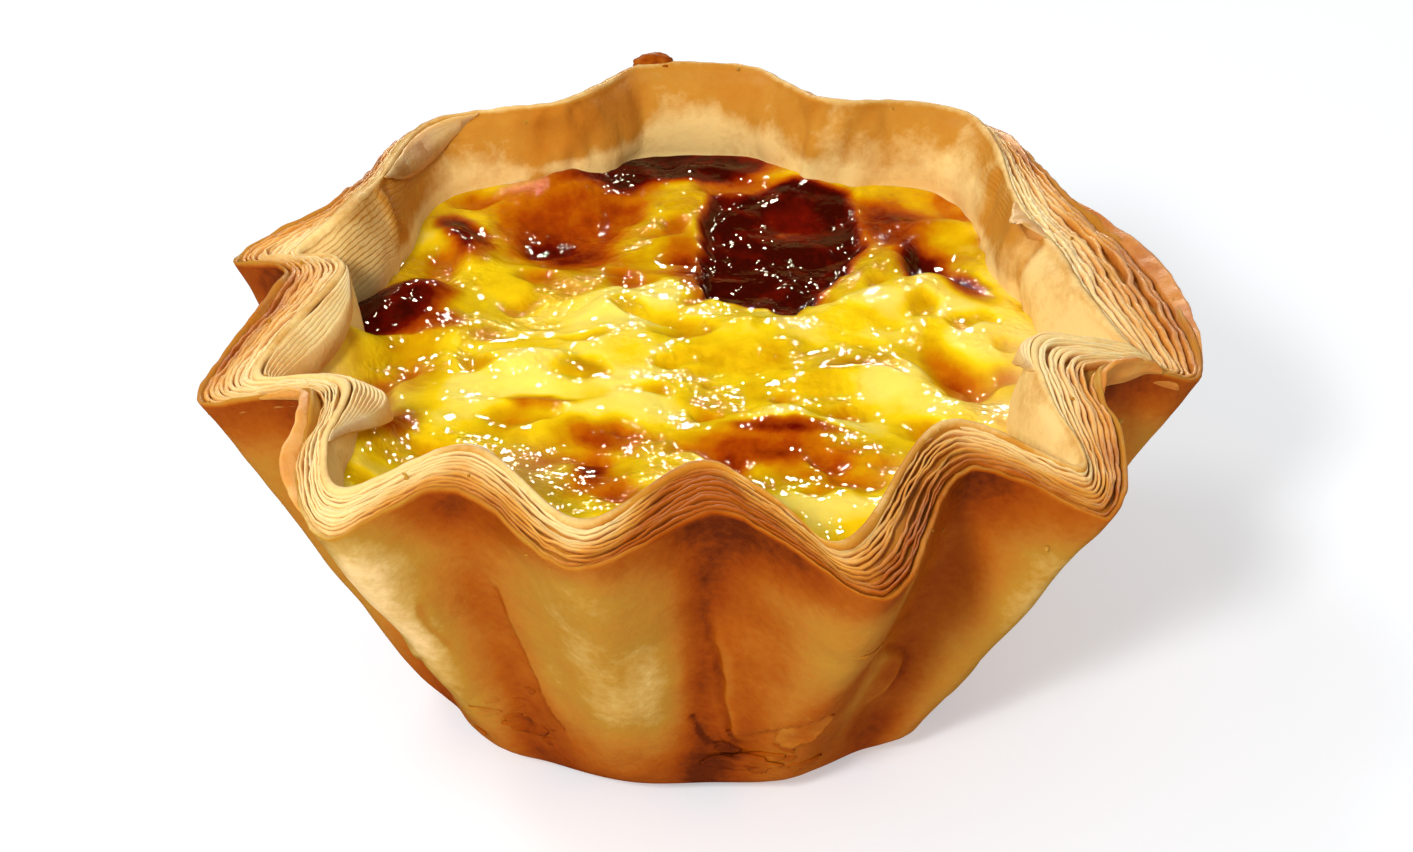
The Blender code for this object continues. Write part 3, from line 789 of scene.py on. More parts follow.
def line_distance(x, y, line):
    """Distance of every (x, y) to a line of points, its side (1 right, -1 left) and place along."""
    nearest = np.full(np.shape(x), np.inf)
    side = np.zeros(np.shape(x))
    along = np.zeros(np.shape(x))
    for k, ((ax, ay), (bx, by)) in enumerate(zip(line, line[1:])):
        length_squared = (bx - ax) ** 2 + (by - ay) ** 2
        share = np.clip(((x - ax) * (bx - ax) + (y - ay) * (by - ay)) / length_squared, 0.0, 1.0)
        away = np.hypot(x - ax - share * (bx - ax), y - ay - share * (by - ay))
        closer = away < nearest
        turned = np.sign((bx - ax) * (ay - y) - (by - ay) * (ax - x))
        nearest = np.where(closer, away, nearest)
        side = np.where(closer, turned, side)
        along = np.where(closer, (k + share) / (len(line) - 1), along)
    return nearest, side, along


def depth_inside(x, y, outline):
    """How far every (x, y) lies inside a closed outline; negative outside it."""
    nearest = line_distance(x, y, [*outline, outline[0]])[0]
    inside = np.zeros(np.shape(x), bool)
    for (ax, ay), (bx, by) in zip(outline, [*outline[1:], outline[0]]):
        if ay != by:
            inside ^= ((ay > y) != (by > y)) & (x < (bx - ax) * (y - ay) / (by - ay) + ax)
    return np.where(inside, nearest, -nearest)


def oval(x, y, row, hardness=1.5):
    """1 in the middle of an oval (x, y, half length, half width, turn), 0 well outside it."""
    angle = math.radians(row[4])
    dx = x - row[0]
    dy = y - row[1]
    a = (dx * math.cos(angle) + dy * math.sin(angle)) / row[2]
    b = (dy * math.cos(angle) - dx * math.sin(angle)) / row[3]
    return np.exp(-(a * a + b * b) ** hardness)


class Rim:
    """The rim's two edges and what follows from them, one entry for each column."""

    def __init__(self, columns):
        self.even_outer, self.inner, self.turn = rim_edges(columns)
        self.across = self.inner - self.even_outer
        sideways = self.across / np.linalg.norm(self.across, axis=1)[:, None]
        frayed = noise_layers(self.even_outer, (0.26, 3.2, 41), (0.13, 1.3, 42))
        self.ragged = sideways * frayed[:, None]
        self.ragged[:, 2] += noise_layers(self.even_outer, (0.30, 4.2, 43), (0.10, 1.5, 44))
        self.outer = self.even_outer + self.ragged
        self.across = self.inner - self.outer
        self.width = np.linalg.norm(self.across, axis=1)
        self.inwards = self.across / self.width[:, None]
        along = np.roll(self.outer, -1, axis=0) - np.roll(self.outer, 1, axis=0)
        up = np.cross(self.across, along)
        up *= np.sign(up[:, 2:3]) / np.linalg.norm(up, axis=1)[:, None]
        self.up = smoothed(up, 6)
        self.azimuth = np.degrees(np.arctan2(self.outer[:, 1], self.outer[:, 0]))
        self.reach = np.hypot(self.even_outer[:, 0], self.even_outer[:, 1])

    def outer_row(self, share):
        """The outside of the wall: 0 is the table, 1 the outer edge of the lip, where it frays."""
        fluting = BASE_FLUTING * (self.reach - self.reach.mean())
        foot = circle(self.turn, BASE_RADIUS + fluting, 0.0)
        return foot + (self.even_outer - foot) * share + self.ragged * share ** 16

    def inner_row(self, share):
        """The inside of the wall: 0 is the floor, 1 the inner edge of the lip."""
        share = np.broadcast_to(share, self.turn.shape)[:, None]
        floor = circle(self.turn, FLOOR_RADIUS, FLOOR_TOP)
        row = floor + (self.inner - floor) * share
        row[:, :2] = floor[:, :2] + (self.inner - floor)[:, :2] * share ** INNER_BELLY
        return row

    def custard_share(self):
        """How far up the inner wall the custard reaches, as a share for inner_row."""
        azimuth = np.degrees(np.arctan2(self.inner[:, 1], self.inner[:, 0]))
        height = CUSTARD_EDGE + humps(azimuth, POCKETS)
        return (height - FLOOR_TOP) / (self.inner[:, 2] - FLOOR_TOP)

    def crest(self):
        """1 on the crest of a flute, -1 in a valley."""
        return np.clip((self.reach - CREST_REACH) / CREST_RISE, -1.0, 1.0)

    def gap(self):
        """Place across the lip and opening in mm of the gap at each column."""
        weights = np.array([opening * hump(self.azimuth, centre, spread)
                            for centre, spread, _, opening in GAPS])
        places = np.array([row[2] for row in GAPS])[:, None]
        total = weights.sum(axis=0)
        return (weights * places).sum(axis=0) / np.maximum(total, 1e-6), total

    def looseness(self):
        """0 where the leaves lie close together, 1 where they stand apart."""
        return np.clip(humps(self.azimuth, LOOSENESS), 0.0, 1.0)

    def paleness(self):
        """How much paler than elsewhere the lip is baked."""
        return humps(self.azimuth, LIP_PALENESS)

    def wall_point(self, turn, share):
        """Points of the outside of the wall at any azimuths at the foot and shares."""
        outer = np.stack([np.interp(turn, self.turn, self.even_outer[:, k], period=math.tau)
                          for k in range(3)], axis=-1)
        reach = np.hypot(outer[..., 0], outer[..., 1])
        radius = BASE_RADIUS + BASE_FLUTING * (reach - self.reach.mean())
        foot = np.stack((radius * np.cos(turn), radius * np.sin(turn), np.zeros_like(radius)),
                        axis=-1)
        return foot + (outer - foot) * share[..., None]

    def roll(self):
        """Thickness of the innermost leaf in mm."""
        shares = np.max([share * hump(self.azimuth, centre, spread)
                         for centre, spread, share in ROLLS], axis=0)
        return np.maximum(INNER_LEAF, shares * self.width)

    def proud(self):
        """How far the outermost leaf stands above the others."""
        return humps(self.azimuth, PROUD_EDGES)


def grid_normals(grid):
    """Unit normals of a grid of points in rows, each of which closes on itself."""
    around = np.roll(grid, -1, axis=1) - np.roll(grid, 1, axis=1)
    upward = np.gradient(grid, axis=0)
    normals = np.cross(around, upward)
    return normals / np.maximum(np.linalg.norm(normals, axis=2), 1e-9)[:, :, None]


def ring_faces(count, columns, start=0):
    """Quads between rings of points, each closed on itself, counted from a start."""
    index = start + np.arange(count * columns).reshape(count, columns)
    after = np.roll(index, -1, axis=1)
    return np.stack((index[:-1], after[:-1], after[1:], index[1:]), axis=-1).reshape(-1, 4).tolist()


def fan_faces(tip, ring, below):
    """Triangles from a tip, which may lie below, to a ring of points."""
    pairs = zip(ring, (*ring[1:], ring[0]))
    return [(tip, b, a) if below else (a, b, tip) for a, b in pairs]


def closed_bodies(name, bodies, material):
    """A mesh of bodies, each closed through rings of points and shut by a fan at each end.

    A body is its rings as rows by columns of points, its first and last point, and a dictionary
    with one value for every ring point, in rows by columns, under each attribute's name.
    """
    points, faces = [], []
    values = {key: [] for key in bodies[0][3]}
    for rows, first, last, attributes in bodies:
        start = sum(len(block) for block in points)
        rings, columns = rows.shape[:2]
        points.append(np.vstack(([first], rows.reshape(-1, 3), [last])) * MM)
        top = start + 1 + rings * columns
        faces += ring_faces(rings, columns, start + 1)
        faces += fan_faces(start, range(start + 1, start + 1 + columns), True)
        faces += fan_faces(top, range(top - columns, top), False)
        for key, block in attributes.items():
            flat = block.reshape(-1)
            values[key].append(np.concatenate(([flat[0]], flat, [flat[-1]])))
    mesh = bpy.data.meshes.new(name)
    mesh.from_pydata(np.vstack(points).tolist(), [], faces)
    for key, blocks in values.items():
        store(mesh, key, np.concatenate(blocks))
    mesh.materials.append(material)
    mesh.shade_smooth()
    return add_piece(name, mesh)


def store(mesh, name, values):
    """Stores one number or one vector for every vertex."""
    kind, field = ("FLOAT", "value") if values.ndim == 1 else ("FLOAT_VECTOR", "vector")
    layer = mesh.attributes.new(name, kind, "POINT")
    layer.data.foreach_set(field, values.astype(np.float32).reshape(-1))


def add_piece(name, mesh):
    """Links a piece that sits at the origin with its place in its mesh."""
    piece = bpy.data.objects.new(name, mesh)
    bpy.context.scene.collection.objects.link(piece)
    return piece


def dress(piece, slot, *replaced):
    """Trims the finished piece to the solids' box, hangs it on the root body and hides the solids
    it replaces.
    """
    low, high = (np.array(corner) for corner in CAD_BOX)
    places = np.empty(3 * len(piece.data.vertices), np.float32)
    piece.data.vertices.foreach_get("co", places)
    places = np.clip(places.reshape(-1, 3), low, high)
    piece.data.vertices.foreach_set("co", places.astype(np.float32).reshape(-1))
    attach(piece, "root")
    if replaced:
        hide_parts(*replaced)


# ------------------------------------------------------------------ materials

def pastry_wall():
    """Baked laminated dough pressed against a buttered tin: satin, mottled, dry fine pores."""
    material, add, place = new_material("baked_dough_wall")
    browning, inside, laminated, down = (
        add(ATTRIBUTE, attribute_name=name).outputs["Fac"]
        for name in ("browning", "inside", "laminated", "down"))
    mottle, speckle, wander, pores = (
        add(NOISE, {"Vector": place, "Scale": per_mm(size), "Detail": detail, "Roughness": rough})
        for size, detail, rough in (
            (5.0, 5.0, 0.55), (0.7, 3.0, 0.6), (5.0, 3.0, 0.5), (0.45, 2.0, 0.5)))
    mottled = add("MULTIPLY_ADD", mottle, 0.34, -0.17)
    speckled = add("MULTIPLY_ADD", speckle, 0.20, -0.10)
    uneven = add("ADD", mottled, speckled)
    baked = add("ADD", browning, uneven, use_clamp=True)
    # Edges of thin leaves run round the inside of the cup, below the lip
    wandering = add("MULTIPLY_ADD", wander, 1.8, down)
    phase = add("MULTIPLY", wandering, math.tau / LEAFY_PITCH)
    edge = add("ShaderNodeMapRange", add("SINE", phase), 0.1, 1.0)
    leaf_edge = add("MULTIPLY", edge, laminated)
    leafy = add("MULTIPLY_ADD", leaf_edge, 0.11, baked, use_clamp=True)
    tint = add(RAMP, baked)
    paint_ramp(tint, crust_cream=0.0, crust_pale=0.14, crust_gold=0.28, crust_honey=0.48,
               crust_orange=0.68, crust_brown=0.86, crust_dark=1.0)
    lining = add(RAMP, leafy)
    paint_ramp(lining, inside_cream=0.0, inside_gold=0.24, inside_honey=0.50, inside_brown=0.85)
    either = add(MIX, {"Factor": inside, 6: tint, 7: lining}, data_type="RGBA")
    relief = add(BUMP, {"Strength": 0.35, "Distance": 0.12 * MM, "Height": pores})
    soft = add(BUMP, {"Strength": 0.5, "Distance": 0.5 * MM, "Height": mottle, "Normal": relief})
    grooves = add(BUMP, {"Strength": 0.6, "Distance": 0.12 * MM, "Height": leaf_edge,
                         "Normal": soft}, invert=True)
    add(OUTPUT, add(SHADER, {
        "Base Color": either.outputs[2], "Roughness": 0.46, "IOR": 1.45, "Specular IOR Level": 0.03,
        "Subsurface Weight": 0.10, "Subsurface Scale": 1.2 * MM,
        "Subsurface Radius": (1.0, 0.45, 0.15), "Normal": grooves}))
    return material


def leaf_edges():
    """Crisp cut edges of the leaves: caramel outside, cream inside, darker down in the gaps, in
    part as painted shade.
    """
    material, add, place = new_material("crisp_dough_leaves")
    leaf, depth, paleness = (add(ATTRIBUTE, attribute_name=name).outputs["Fac"]
                             for name in ("leaf", "depth", "paleness"))
    mottle, grain = (add(NOISE, {"Vector": place, "Scale": per_mm(size), "Detail": detail})
                     for size, detail in ((3.5, 4.0), (0.35, 2.0)))
    shifted = add("MULTIPLY_ADD", mottle, 0.9, -0.45)
    paled = add("ADD", leaf, paleness)
    edge = add(RAMP, add("ADD", paled, shifted, use_clamp=True))
    paint_ramp(edge, leaf_caramel=0.0, leaf_gold=0.45, leaf_cream=1.0)
    # Down its sides a leaf turns to the gap colour, in part painted shade between the leaves
    gap = (*bpy.context.scene.tart_colours.leaf_gap, 1.0)
    tint = add(MIX, {"Factor": depth, 6: edge, 7: gap}, data_type="RGBA")
    relief = add(BUMP, {"Strength": 0.5, "Distance": 0.12 * MM, "Height": grain})
    add(OUTPUT, add(SHADER, {
        "Base Color": tint.outputs[2], "Roughness": 0.5, "IOR": 1.45, "Specular IOR Level": 0.15,
        "Subsurface Weight": 0.30, "Subsurface Scale": 0.9 * MM,
        "Subsurface Radius": (1.0, 0.5, 0.2), "Normal": relief}))
    return material


def baked_custard():
    """Set egg custard under its own browned skin: wet gloss over a soft, light-filled yellow."""
    material, add, place = new_material("baked_egg_custard")
    browning, milky = (add(ATTRIBUTE, attribute_name=name).outputs["Fac"]
                       for name in ("browning", "milky"))
    mottle, shimmer, blisters, clusters = (
        add(NOISE, {"Vector": place, "Scale": per_mm(size), "Detail": detail, "Roughness": rough})
        for size, detail, rough in (
            (2.2, 5.0, 0.6), (2.4, 1.0, 0.5), (0.8, 1.0, 0.5), (6.0, 1.0, 0.5)))
    # Mottling shows only where the skin has begun to brown
    amount = add("MULTIPLY_ADD", browning, 0.9, 0.08, use_clamp=True)
    centred = add("SUBTRACT", mottle, 0.5)
    mottled = add("MULTIPLY", centred, amount)
    tint = add(RAMP, add("ADD", browning, mottled, use_clamp=True))
    paint_ramp(tint, custard_pale=0.0, custard_yellow=0.09, custard_golden=0.21,
               custard_orange=0.36, custard_amber=0.54, custard_red=0.76, custard_burnt=1.0)
    milk = (*bpy.context.scene.tart_colours.custard_milk, 1.0)
    milked = add(MIX, {"Factor": milky, 6: tint, 7: milk}, data_type="RGBA")
    # Fine blisters come in clusters, on a skin that is gently waved
    busy = add("ShaderNodeMapRange", clusters, 0.40, 0.54)
    blistered = add("MULTIPLY", blisters, busy)
    waves = add(BUMP, {"Strength": 0.35, "Distance": 0.4 * MM, "Height": shimmer})
    skin = add(BUMP, {"Strength": 0.9, "Distance": 0.27 * MM, "Height": blistered, "Normal": waves})
    add(OUTPUT, add(SHADER, {
        "Base Color": milked.outputs[2], "Roughness": 0.34, "IOR": 1.40, "Specular IOR Level": 0.0,
        "Subsurface Weight": 0.25, "Subsurface Scale": 1.2 * MM,
        "Subsurface Radius": (1.0, 0.6, 0.08),
        "Coat Weight": 0.42, "Coat Roughness": 0.030, "Coat IOR": 1.42,
        "Normal": skin, "Coat Normal": skin}))
    return material


def seamless_ground():
    """Matte white acrylic, lit a little from below: only a pale, soft shadow shows on it."""
    scene = bpy.context.scene
    material, add, _ = new_material("matte_backlit_acrylic")
    add(OUTPUT, add(SHADER, {
        "Base Color": (*scene.tart_colours.ground, 1.0), "Roughness": 0.9,
        "Specular IOR Level": 0.0, "Emission Color": (1.0, 1.0, 1.0, 1.0),
        "Emission Strength": scene.tart_stage.ground_glow}))
    return material


# ------------------------------------------------------------------ the pastry cup

def wall_coordinates(turn, share):
    """A flat map of the wall in mm: along it from azimuth 0, and up it."""
    return np.degrees(turn) % 360.0 * SHEET_SCALE, share * WALL_HEIGHT


def wall_line(points):
    """A line of (azimuth at the foot, share) on that map, with its corners rounded."""
    flat = np.array([wall_coordinates(math.radians(a), s) for a, s in points])
    places = np.linspace(0.0, 1.0, len(flat))
    fine = np.linspace(0.0, 1.0, 6 * len(flat))
    line = np.column_stack([np.interp(fine, places, flat[:, k]) for k in (0, 1)])
    for _ in range(4):
        line[1:-1] = (line[:-2] + 2.0 * line[1:-1] + line[2:]) / 4.0
    return line.tolist()


def wall_tone(azimuth, share, crest, points):
    """How brown the wall is at each point, painted shade under the lip included: azimuth at the
    foot in degrees, share of the height.
    """
    # Crests are paler, and the noise is drawn out up the wall
    brown = 0.50 - 0.16 * crest + 0.07 * smooth_noise(points, 12.0, 4)
    brown += 0.09 * smooth_noise(points * (1.0, 1.0, 0.35), 4.0, 5)
    # It darkens under the lip, from baking and in part as painted shade under the overhang, and
    # near the table
    brown += 0.30 * smoothstep(share, 0.80, 0.97)
    brown += 0.21 * smoothstep(0.36 - share, 0.0, 0.3)
    return brown + patches(azimuth, share, WALL_BROWNING)


def wall_relief(rim, shares, points, sizes):
    """How far each point of the wall stands out, in mm, and how brown it is, with painted shade and
    painted highlights at the sheets' edges.
    """
    turn = np.broadcast_to(rim.turn, points.shape[:2])
    share = np.broadcast_to(shares[:, None], points.shape[:2])
    x, y = wall_coordinates(turn, share)
    puff = sizes.wall_puff / MM
    lift = noise_layers(points, (puff, 9.0, 1), (0.35 * puff, 3.6, 2))
    lift += 0.12 * puff * smooth_noise(points * (1.0, 1.0, 0.25), 1.1, 3)
    crest = np.broadcast_to(rim.crest(), turn.shape)
    brown = wall_tone(np.degrees(turn), share, crest, points)
    wiggle = 0.30 * smooth_noise(points, 1.8, 6)
    for line, rise, fade in SHEET_EDGES:
        away, side, along = line_distance(x, y, wall_line(line))
        across = away * side + wiggle
        ends = smoothstep(np.minimum(along, 1.0 - along), 0.0, 0.30)
        # A sheet rises at its edge with a shallow groove beside it; the dough beside it gets
        # painted shade and its rim a painted highlight
        raised = smoothstep(across, -0.25, 0.25) * np.exp(-np.maximum(across, 0.0) / fade) * ends
        shade = np.exp(-((across + 0.35) / 0.30) ** 2) * ends
        rim_light = np.exp(-((across - 0.35) / 0.40) ** 2) * ends
        lift += rise * (raised - 0.25 * shade)
        brown += rise * (0.20 * shade - 0.24 * rim_light)
    for line, half_width, depth in CRACKS:
        away = line_distance(x, y, wall_line(line))[0]
        near = np.exp(-((away + 0.5 * wiggle) / half_width) ** 2)
        lift -= depth * near
        brown += 0.22 * near
    fade = smoothstep(share, 0.03, 0.14) * smoothstep(1.0 - share, 0.0, 0.10)
    return lift * fade, brown


def inner_relief(drops, points):
    """Pillows and creases of the inside; drops are 0 at the lip and 1 at the custard's edge."""
    drop = np.broadcast_to(drops[:, None], points.shape[:2])
    bearing = np.degrees(np.arctan2(points[..., 1], points[..., 0])) % 360.0
    bearing = bearing + 1.6 * smooth_noise(points, 3.5, 31)
    belly = np.sin(np.pi * np.clip(drop, 0.0, 1.0)) ** 0.8
    swell = humps(bearing, PILLOWS) * belly
    lift = swell + 0.40 * smooth_noise(points, 4.5, 32)
    brown = 0.24 - 0.12 * drop + noise_layers(points, (0.20, 6.0, 33), (0.07, 2.0, 34))
    brown += patches(bearing, drop, INSIDE_BROWNING) - 0.03 * swell
    laminated = sum(amount * hump(bearing, centre, spread) * smoothstep(-drop, -reach, -0.5 * reach)
                    for centre, spread, reach, amount in LEAFY_INSIDE)
    crumpled = smooth_noise(points * (1.0, 1.0, 0.4), 1.5, 35)
    for centre, spread, depth in CREASES:
        near = hump(bearing, centre + 2.5 * (drop - 0.5), spread)
        wide = hump(bearing, centre, 4.0 * spread)
        lift = lift - depth * near * np.clip(1.3 - drop, 0.0, 1.0) + 0.35 * wide * crumpled
        brown += 0.09 * near + 0.08 * wide * (0.5 + crumpled)
    # A pale line where the custard has kept the dough moist
    brown -= 0.22 * np.exp(-((drop - 0.92) / 0.12) ** 2)
    fade = smoothstep(drop, 0.0, 0.16) * smoothstep(-drop, -1.7, -1.2)
    return (lift + 0.05 * crumpled) * fade, brown, laminated


def lip_ring(rim, from_outer, above):
    """Points on the lip: distance from its outer edge and height above its face, in mm."""
    sideways = rim.inwards * np.reshape(from_outer, (-1, 1))
    return rim.outer + sideways + rim.up * np.reshape(above, (-1, 1))


def lip_rings(rim, wave):
    """The lip from wall to inner wall: outermost leaf, sunken core, rounded innermost leaf."""
    outer_edge = LEAF_RIDGE + noise_layers(rim.outer, (wave, 6.0, 21), (0.16, 1.3, 22))
    outer_edge += rim.proud()
    inner_edge = LEAF_RIDGE + noise_layers(rim.inner, (wave, 6.0, 25), (0.10, 1.3, 26))
    leaf = OUTER_LEAF * (0.85 + 0.25 * smooth_noise(rim.outer, 5.0, 23))
    inner = rim.roll() * (0.9 + 0.2 * smooth_noise(rim.inner, 5.0, 27))
    trough = 0.2 * smooth_noise(rim.outer, 2.0, 24) - TROUGH
    trough -= GAP_DEPTH * np.clip(rim.gap()[1], 0.0, 1.0)
    uneven_trough = trough + 0.2 * smooth_noise(rim.outer, 1.4, 28)
    core = rim.width - inner - 1.3 * leaf
    round_top = 0.06 + 0.12 * inner
    # Each ring: its distance from the outer edge, and its height above the cut face
    rings = ((0.02, 0.35 * outer_edge),
             (0.18 * leaf, outer_edge),
             (0.55 * leaf, outer_edge + 0.05),
             (leaf, outer_edge - LEAF_SHOULDER),
             (1.15 * leaf, trough),
             (1.15 * leaf + 0.35 * core, uneven_trough),
             (1.15 * leaf + 0.65 * core, uneven_trough),
             (rim.width - inner - 0.15 * leaf, trough),
             (rim.width - inner, inner_edge - LEAF_SHOULDER),
             (rim.width - 0.8 * inner, inner_edge + 0.7 * round_top),
             (rim.width - 0.5 * inner, inner_edge + round_top),
             (rim.width - 0.2 * inner, inner_edge + 0.6 * round_top),
             (rim.width, 0.3 * inner_edge))
    return np.array([lip_ring(rim, *ring) for ring in rings])


def pastry_cup(rim, sizes, material):
    """Sole, wall, outermost leaf, core of the lip, innermost leaf, inner wall and floor."""
    foot = [circle(rim.turn, SOLE_RADIUS + share * FOOT_WIDTH, rise * FOOT_RISE)
            for share, rise in ((0.0, 0.0), (0.6, 0.25), (1.0, 1.0))]
    shares = np.concatenate((np.linspace(0.05, 0.94, WALL_ROWS), (0.96, 0.98, 0.992)))
    wall = np.array([rim.outer_row(share) for share in shares])
    # Low down, the flutes give way to a plain cone that stands on the sole
    fluted = smoothstep(shares, 0.0, 0.10)[:, None, None]
    cone = np.array([
        circle(rim.turn, SOLE_RADIUS + FOOT_WIDTH + FOOT_FLARE * share, WALL_HEIGHT * share)
        for share in shares])
    wall = wall * fluted + cone * (1.0 - fluted)
    lift, brown = wall_relief(rim, shares, wall, sizes)
    wall = wall + grid_normals(wall) * lift[:, :, None]
    lip = lip_rings(rim, sizes.leaf_wave / MM)

    # Drops of 0 at the lip and 1 at the custard's edge, then on down to the floor
    edge_share = rim.custard_share()
    drops = np.linspace(0.05, 1.12, INSIDE_ROWS)
    inside_shares = [1.0 + (edge_share - 1.0) * drop for drop in drops]
    inside_shares += [part * edge_share for part in (0.85, 0.5, 0.2, 0.0)]
    inside = np.array([rim.inner_row(share) for share in inside_shares])
    drops = np.concatenate((drops, (1.3, 1.7, 2.0, 2.2)))
    lift, inside_brown, laminated = inner_relief(drops, inside)
    down = rim.inner[None, :, 2] - inside[:, :, 2]
    inside = inside + grid_normals(inside) * lift[:, :, None]

    rows = np.concatenate((foot, wall, lip, inside))
    lip_brown = np.array(LIP_BROWNING)[:, None] + 0.12 * smooth_noise(rim.outer, 3.0, 29)
    lip_brown = lip_brown - 0.35 * rim.paleness()
    foot_brown = np.repeat(brown[:1], len(foot), axis=0) + 0.1
    # This tone holds the baking colour together with painted shade and painted highlights
    browning = np.concatenate((foot_brown, brown, lip_brown, inside_brown))
    # The lining's own colours set in across the lip
    lining = np.clip((np.arange(len(rows)) - len(foot) - len(wall) - 1) / 6.0, 0.0, 1.0)
    lining = np.repeat(lining[:, None], len(rim.turn), axis=1)
    above = np.zeros((len(rows) - len(inside), len(rim.turn)))
    finish = {"browning": np.clip(browning, 0.0, 1.0), "inside": lining,
              "laminated": np.concatenate((above, np.clip(laminated, 0.0, 1.0))),
              "down": np.concatenate((above, down))}
    return closed_bodies("pastry_cup", [(rows, (0, 0, 0), (0, 0, FLOOR_TOP), finish)], material)


class TART_OT_pastry_cup(bpy.types.Operator):
    """Model the pastry cup: sole, fluted wall, inner wall and the core of the lip"""
    bl_idname = "tart.pastry_cup"
    bl_label = "Pastry cup"

    def execute(self, context):
        piece = pastry_cup(Rim(CUP_COLUMNS), context.scene.tart_sizes, pastry_wall())
        dress(piece, "pastry", "crust")
        return {"FINISHED"}


# ------------------------------------------------------------------ the leaves of the lip

# Section of a leaf: how far to the side, in thicknesses, and how deep (0 is its edge, 1 its foot).
LEAF_SECTION = ((0.46, 1.0), (0.5, 0.24), (0.45, 0.07), (0.26, 0.0), (-0.26, 0.0), (-0.45, 0.07),
                (-0.5, 0.24), (-0.46, 1.0))

# Section of a standing leaf: height (1 its edge, 0 the lip, -1 its root) and which side it is.
STANDING_HEIGHTS = (0.93, 0.7, 0.45, 0.2, 0.0, -1.0)
STANDING_SECTION = ((1.0, 0.0), *((height, 1.0) for height in STANDING_HEIGHTS),
                    *((height, -1.0) for height in reversed(STANDING_HEIGHTS)))


def leaf_strip(rim):
    """One leaf's closed strip, folded onto the rim's outer edge, with what places it stored."""
    columns = len(rim.turn)
    sides = len(LEAF_SECTION)
    index = np.arange(columns * sides).reshape(columns, sides)
    ahead = np.roll(index, -1, axis=0)
    quads = (index, ahead, np.roll(ahead, -1, axis=1), np.roll(index, -1, axis=1))
    gap_place, gap_opening = rim.gap()
    per_column = {"outer": rim.outer * MM, "across": rim.across * MM, "inwards": rim.inwards,
                  "lip_up": rim.up, "gap_place": gap_place, "gap_share": gap_opening / rim.width,
                  "width": rim.width * MM, "loose": rim.looseness(),
                  "spread": 1.02 - rim.roll() / rim.width, "paleness": rim.paleness()}
    points = np.repeat(rim.outer * MM, sides, axis=0)
    mesh = bpy.data.meshes.new("lip_leaves")
    mesh.from_pydata(points.tolist(), [], np.stack(quads, axis=-1).reshape(-1, 4).tolist())
    for name, values in per_column.items():
        store(mesh, name, np.repeat(values, sides, axis=0))
    for name, values in zip(("side", "depth"), np.transpose(LEAF_SECTION)):
        store(mesh, name, np.tile(values, columns))
    return mesh


def new_group(name, inputs):
    """An empty tree of geometry nodes, the function that adds its nodes, and its input sockets."""
    tree = bpy.data.node_groups.new(name, "GeometryNodeTree")
    tree.interface.new_socket("Geometry", in_out="INPUT", socket_type="NodeSocketGeometry")
    for title, kind in inputs.items():
        tree.interface.new_socket(title, in_out="INPUT", socket_type="NodeSocket" + kind)
    tree.interface.new_socket("Geometry", in_out="OUTPUT", socket_type="NodeSocketGeometry")
    return tree, partial(node, tree), node(tree, "NodeGroupInput").outputs


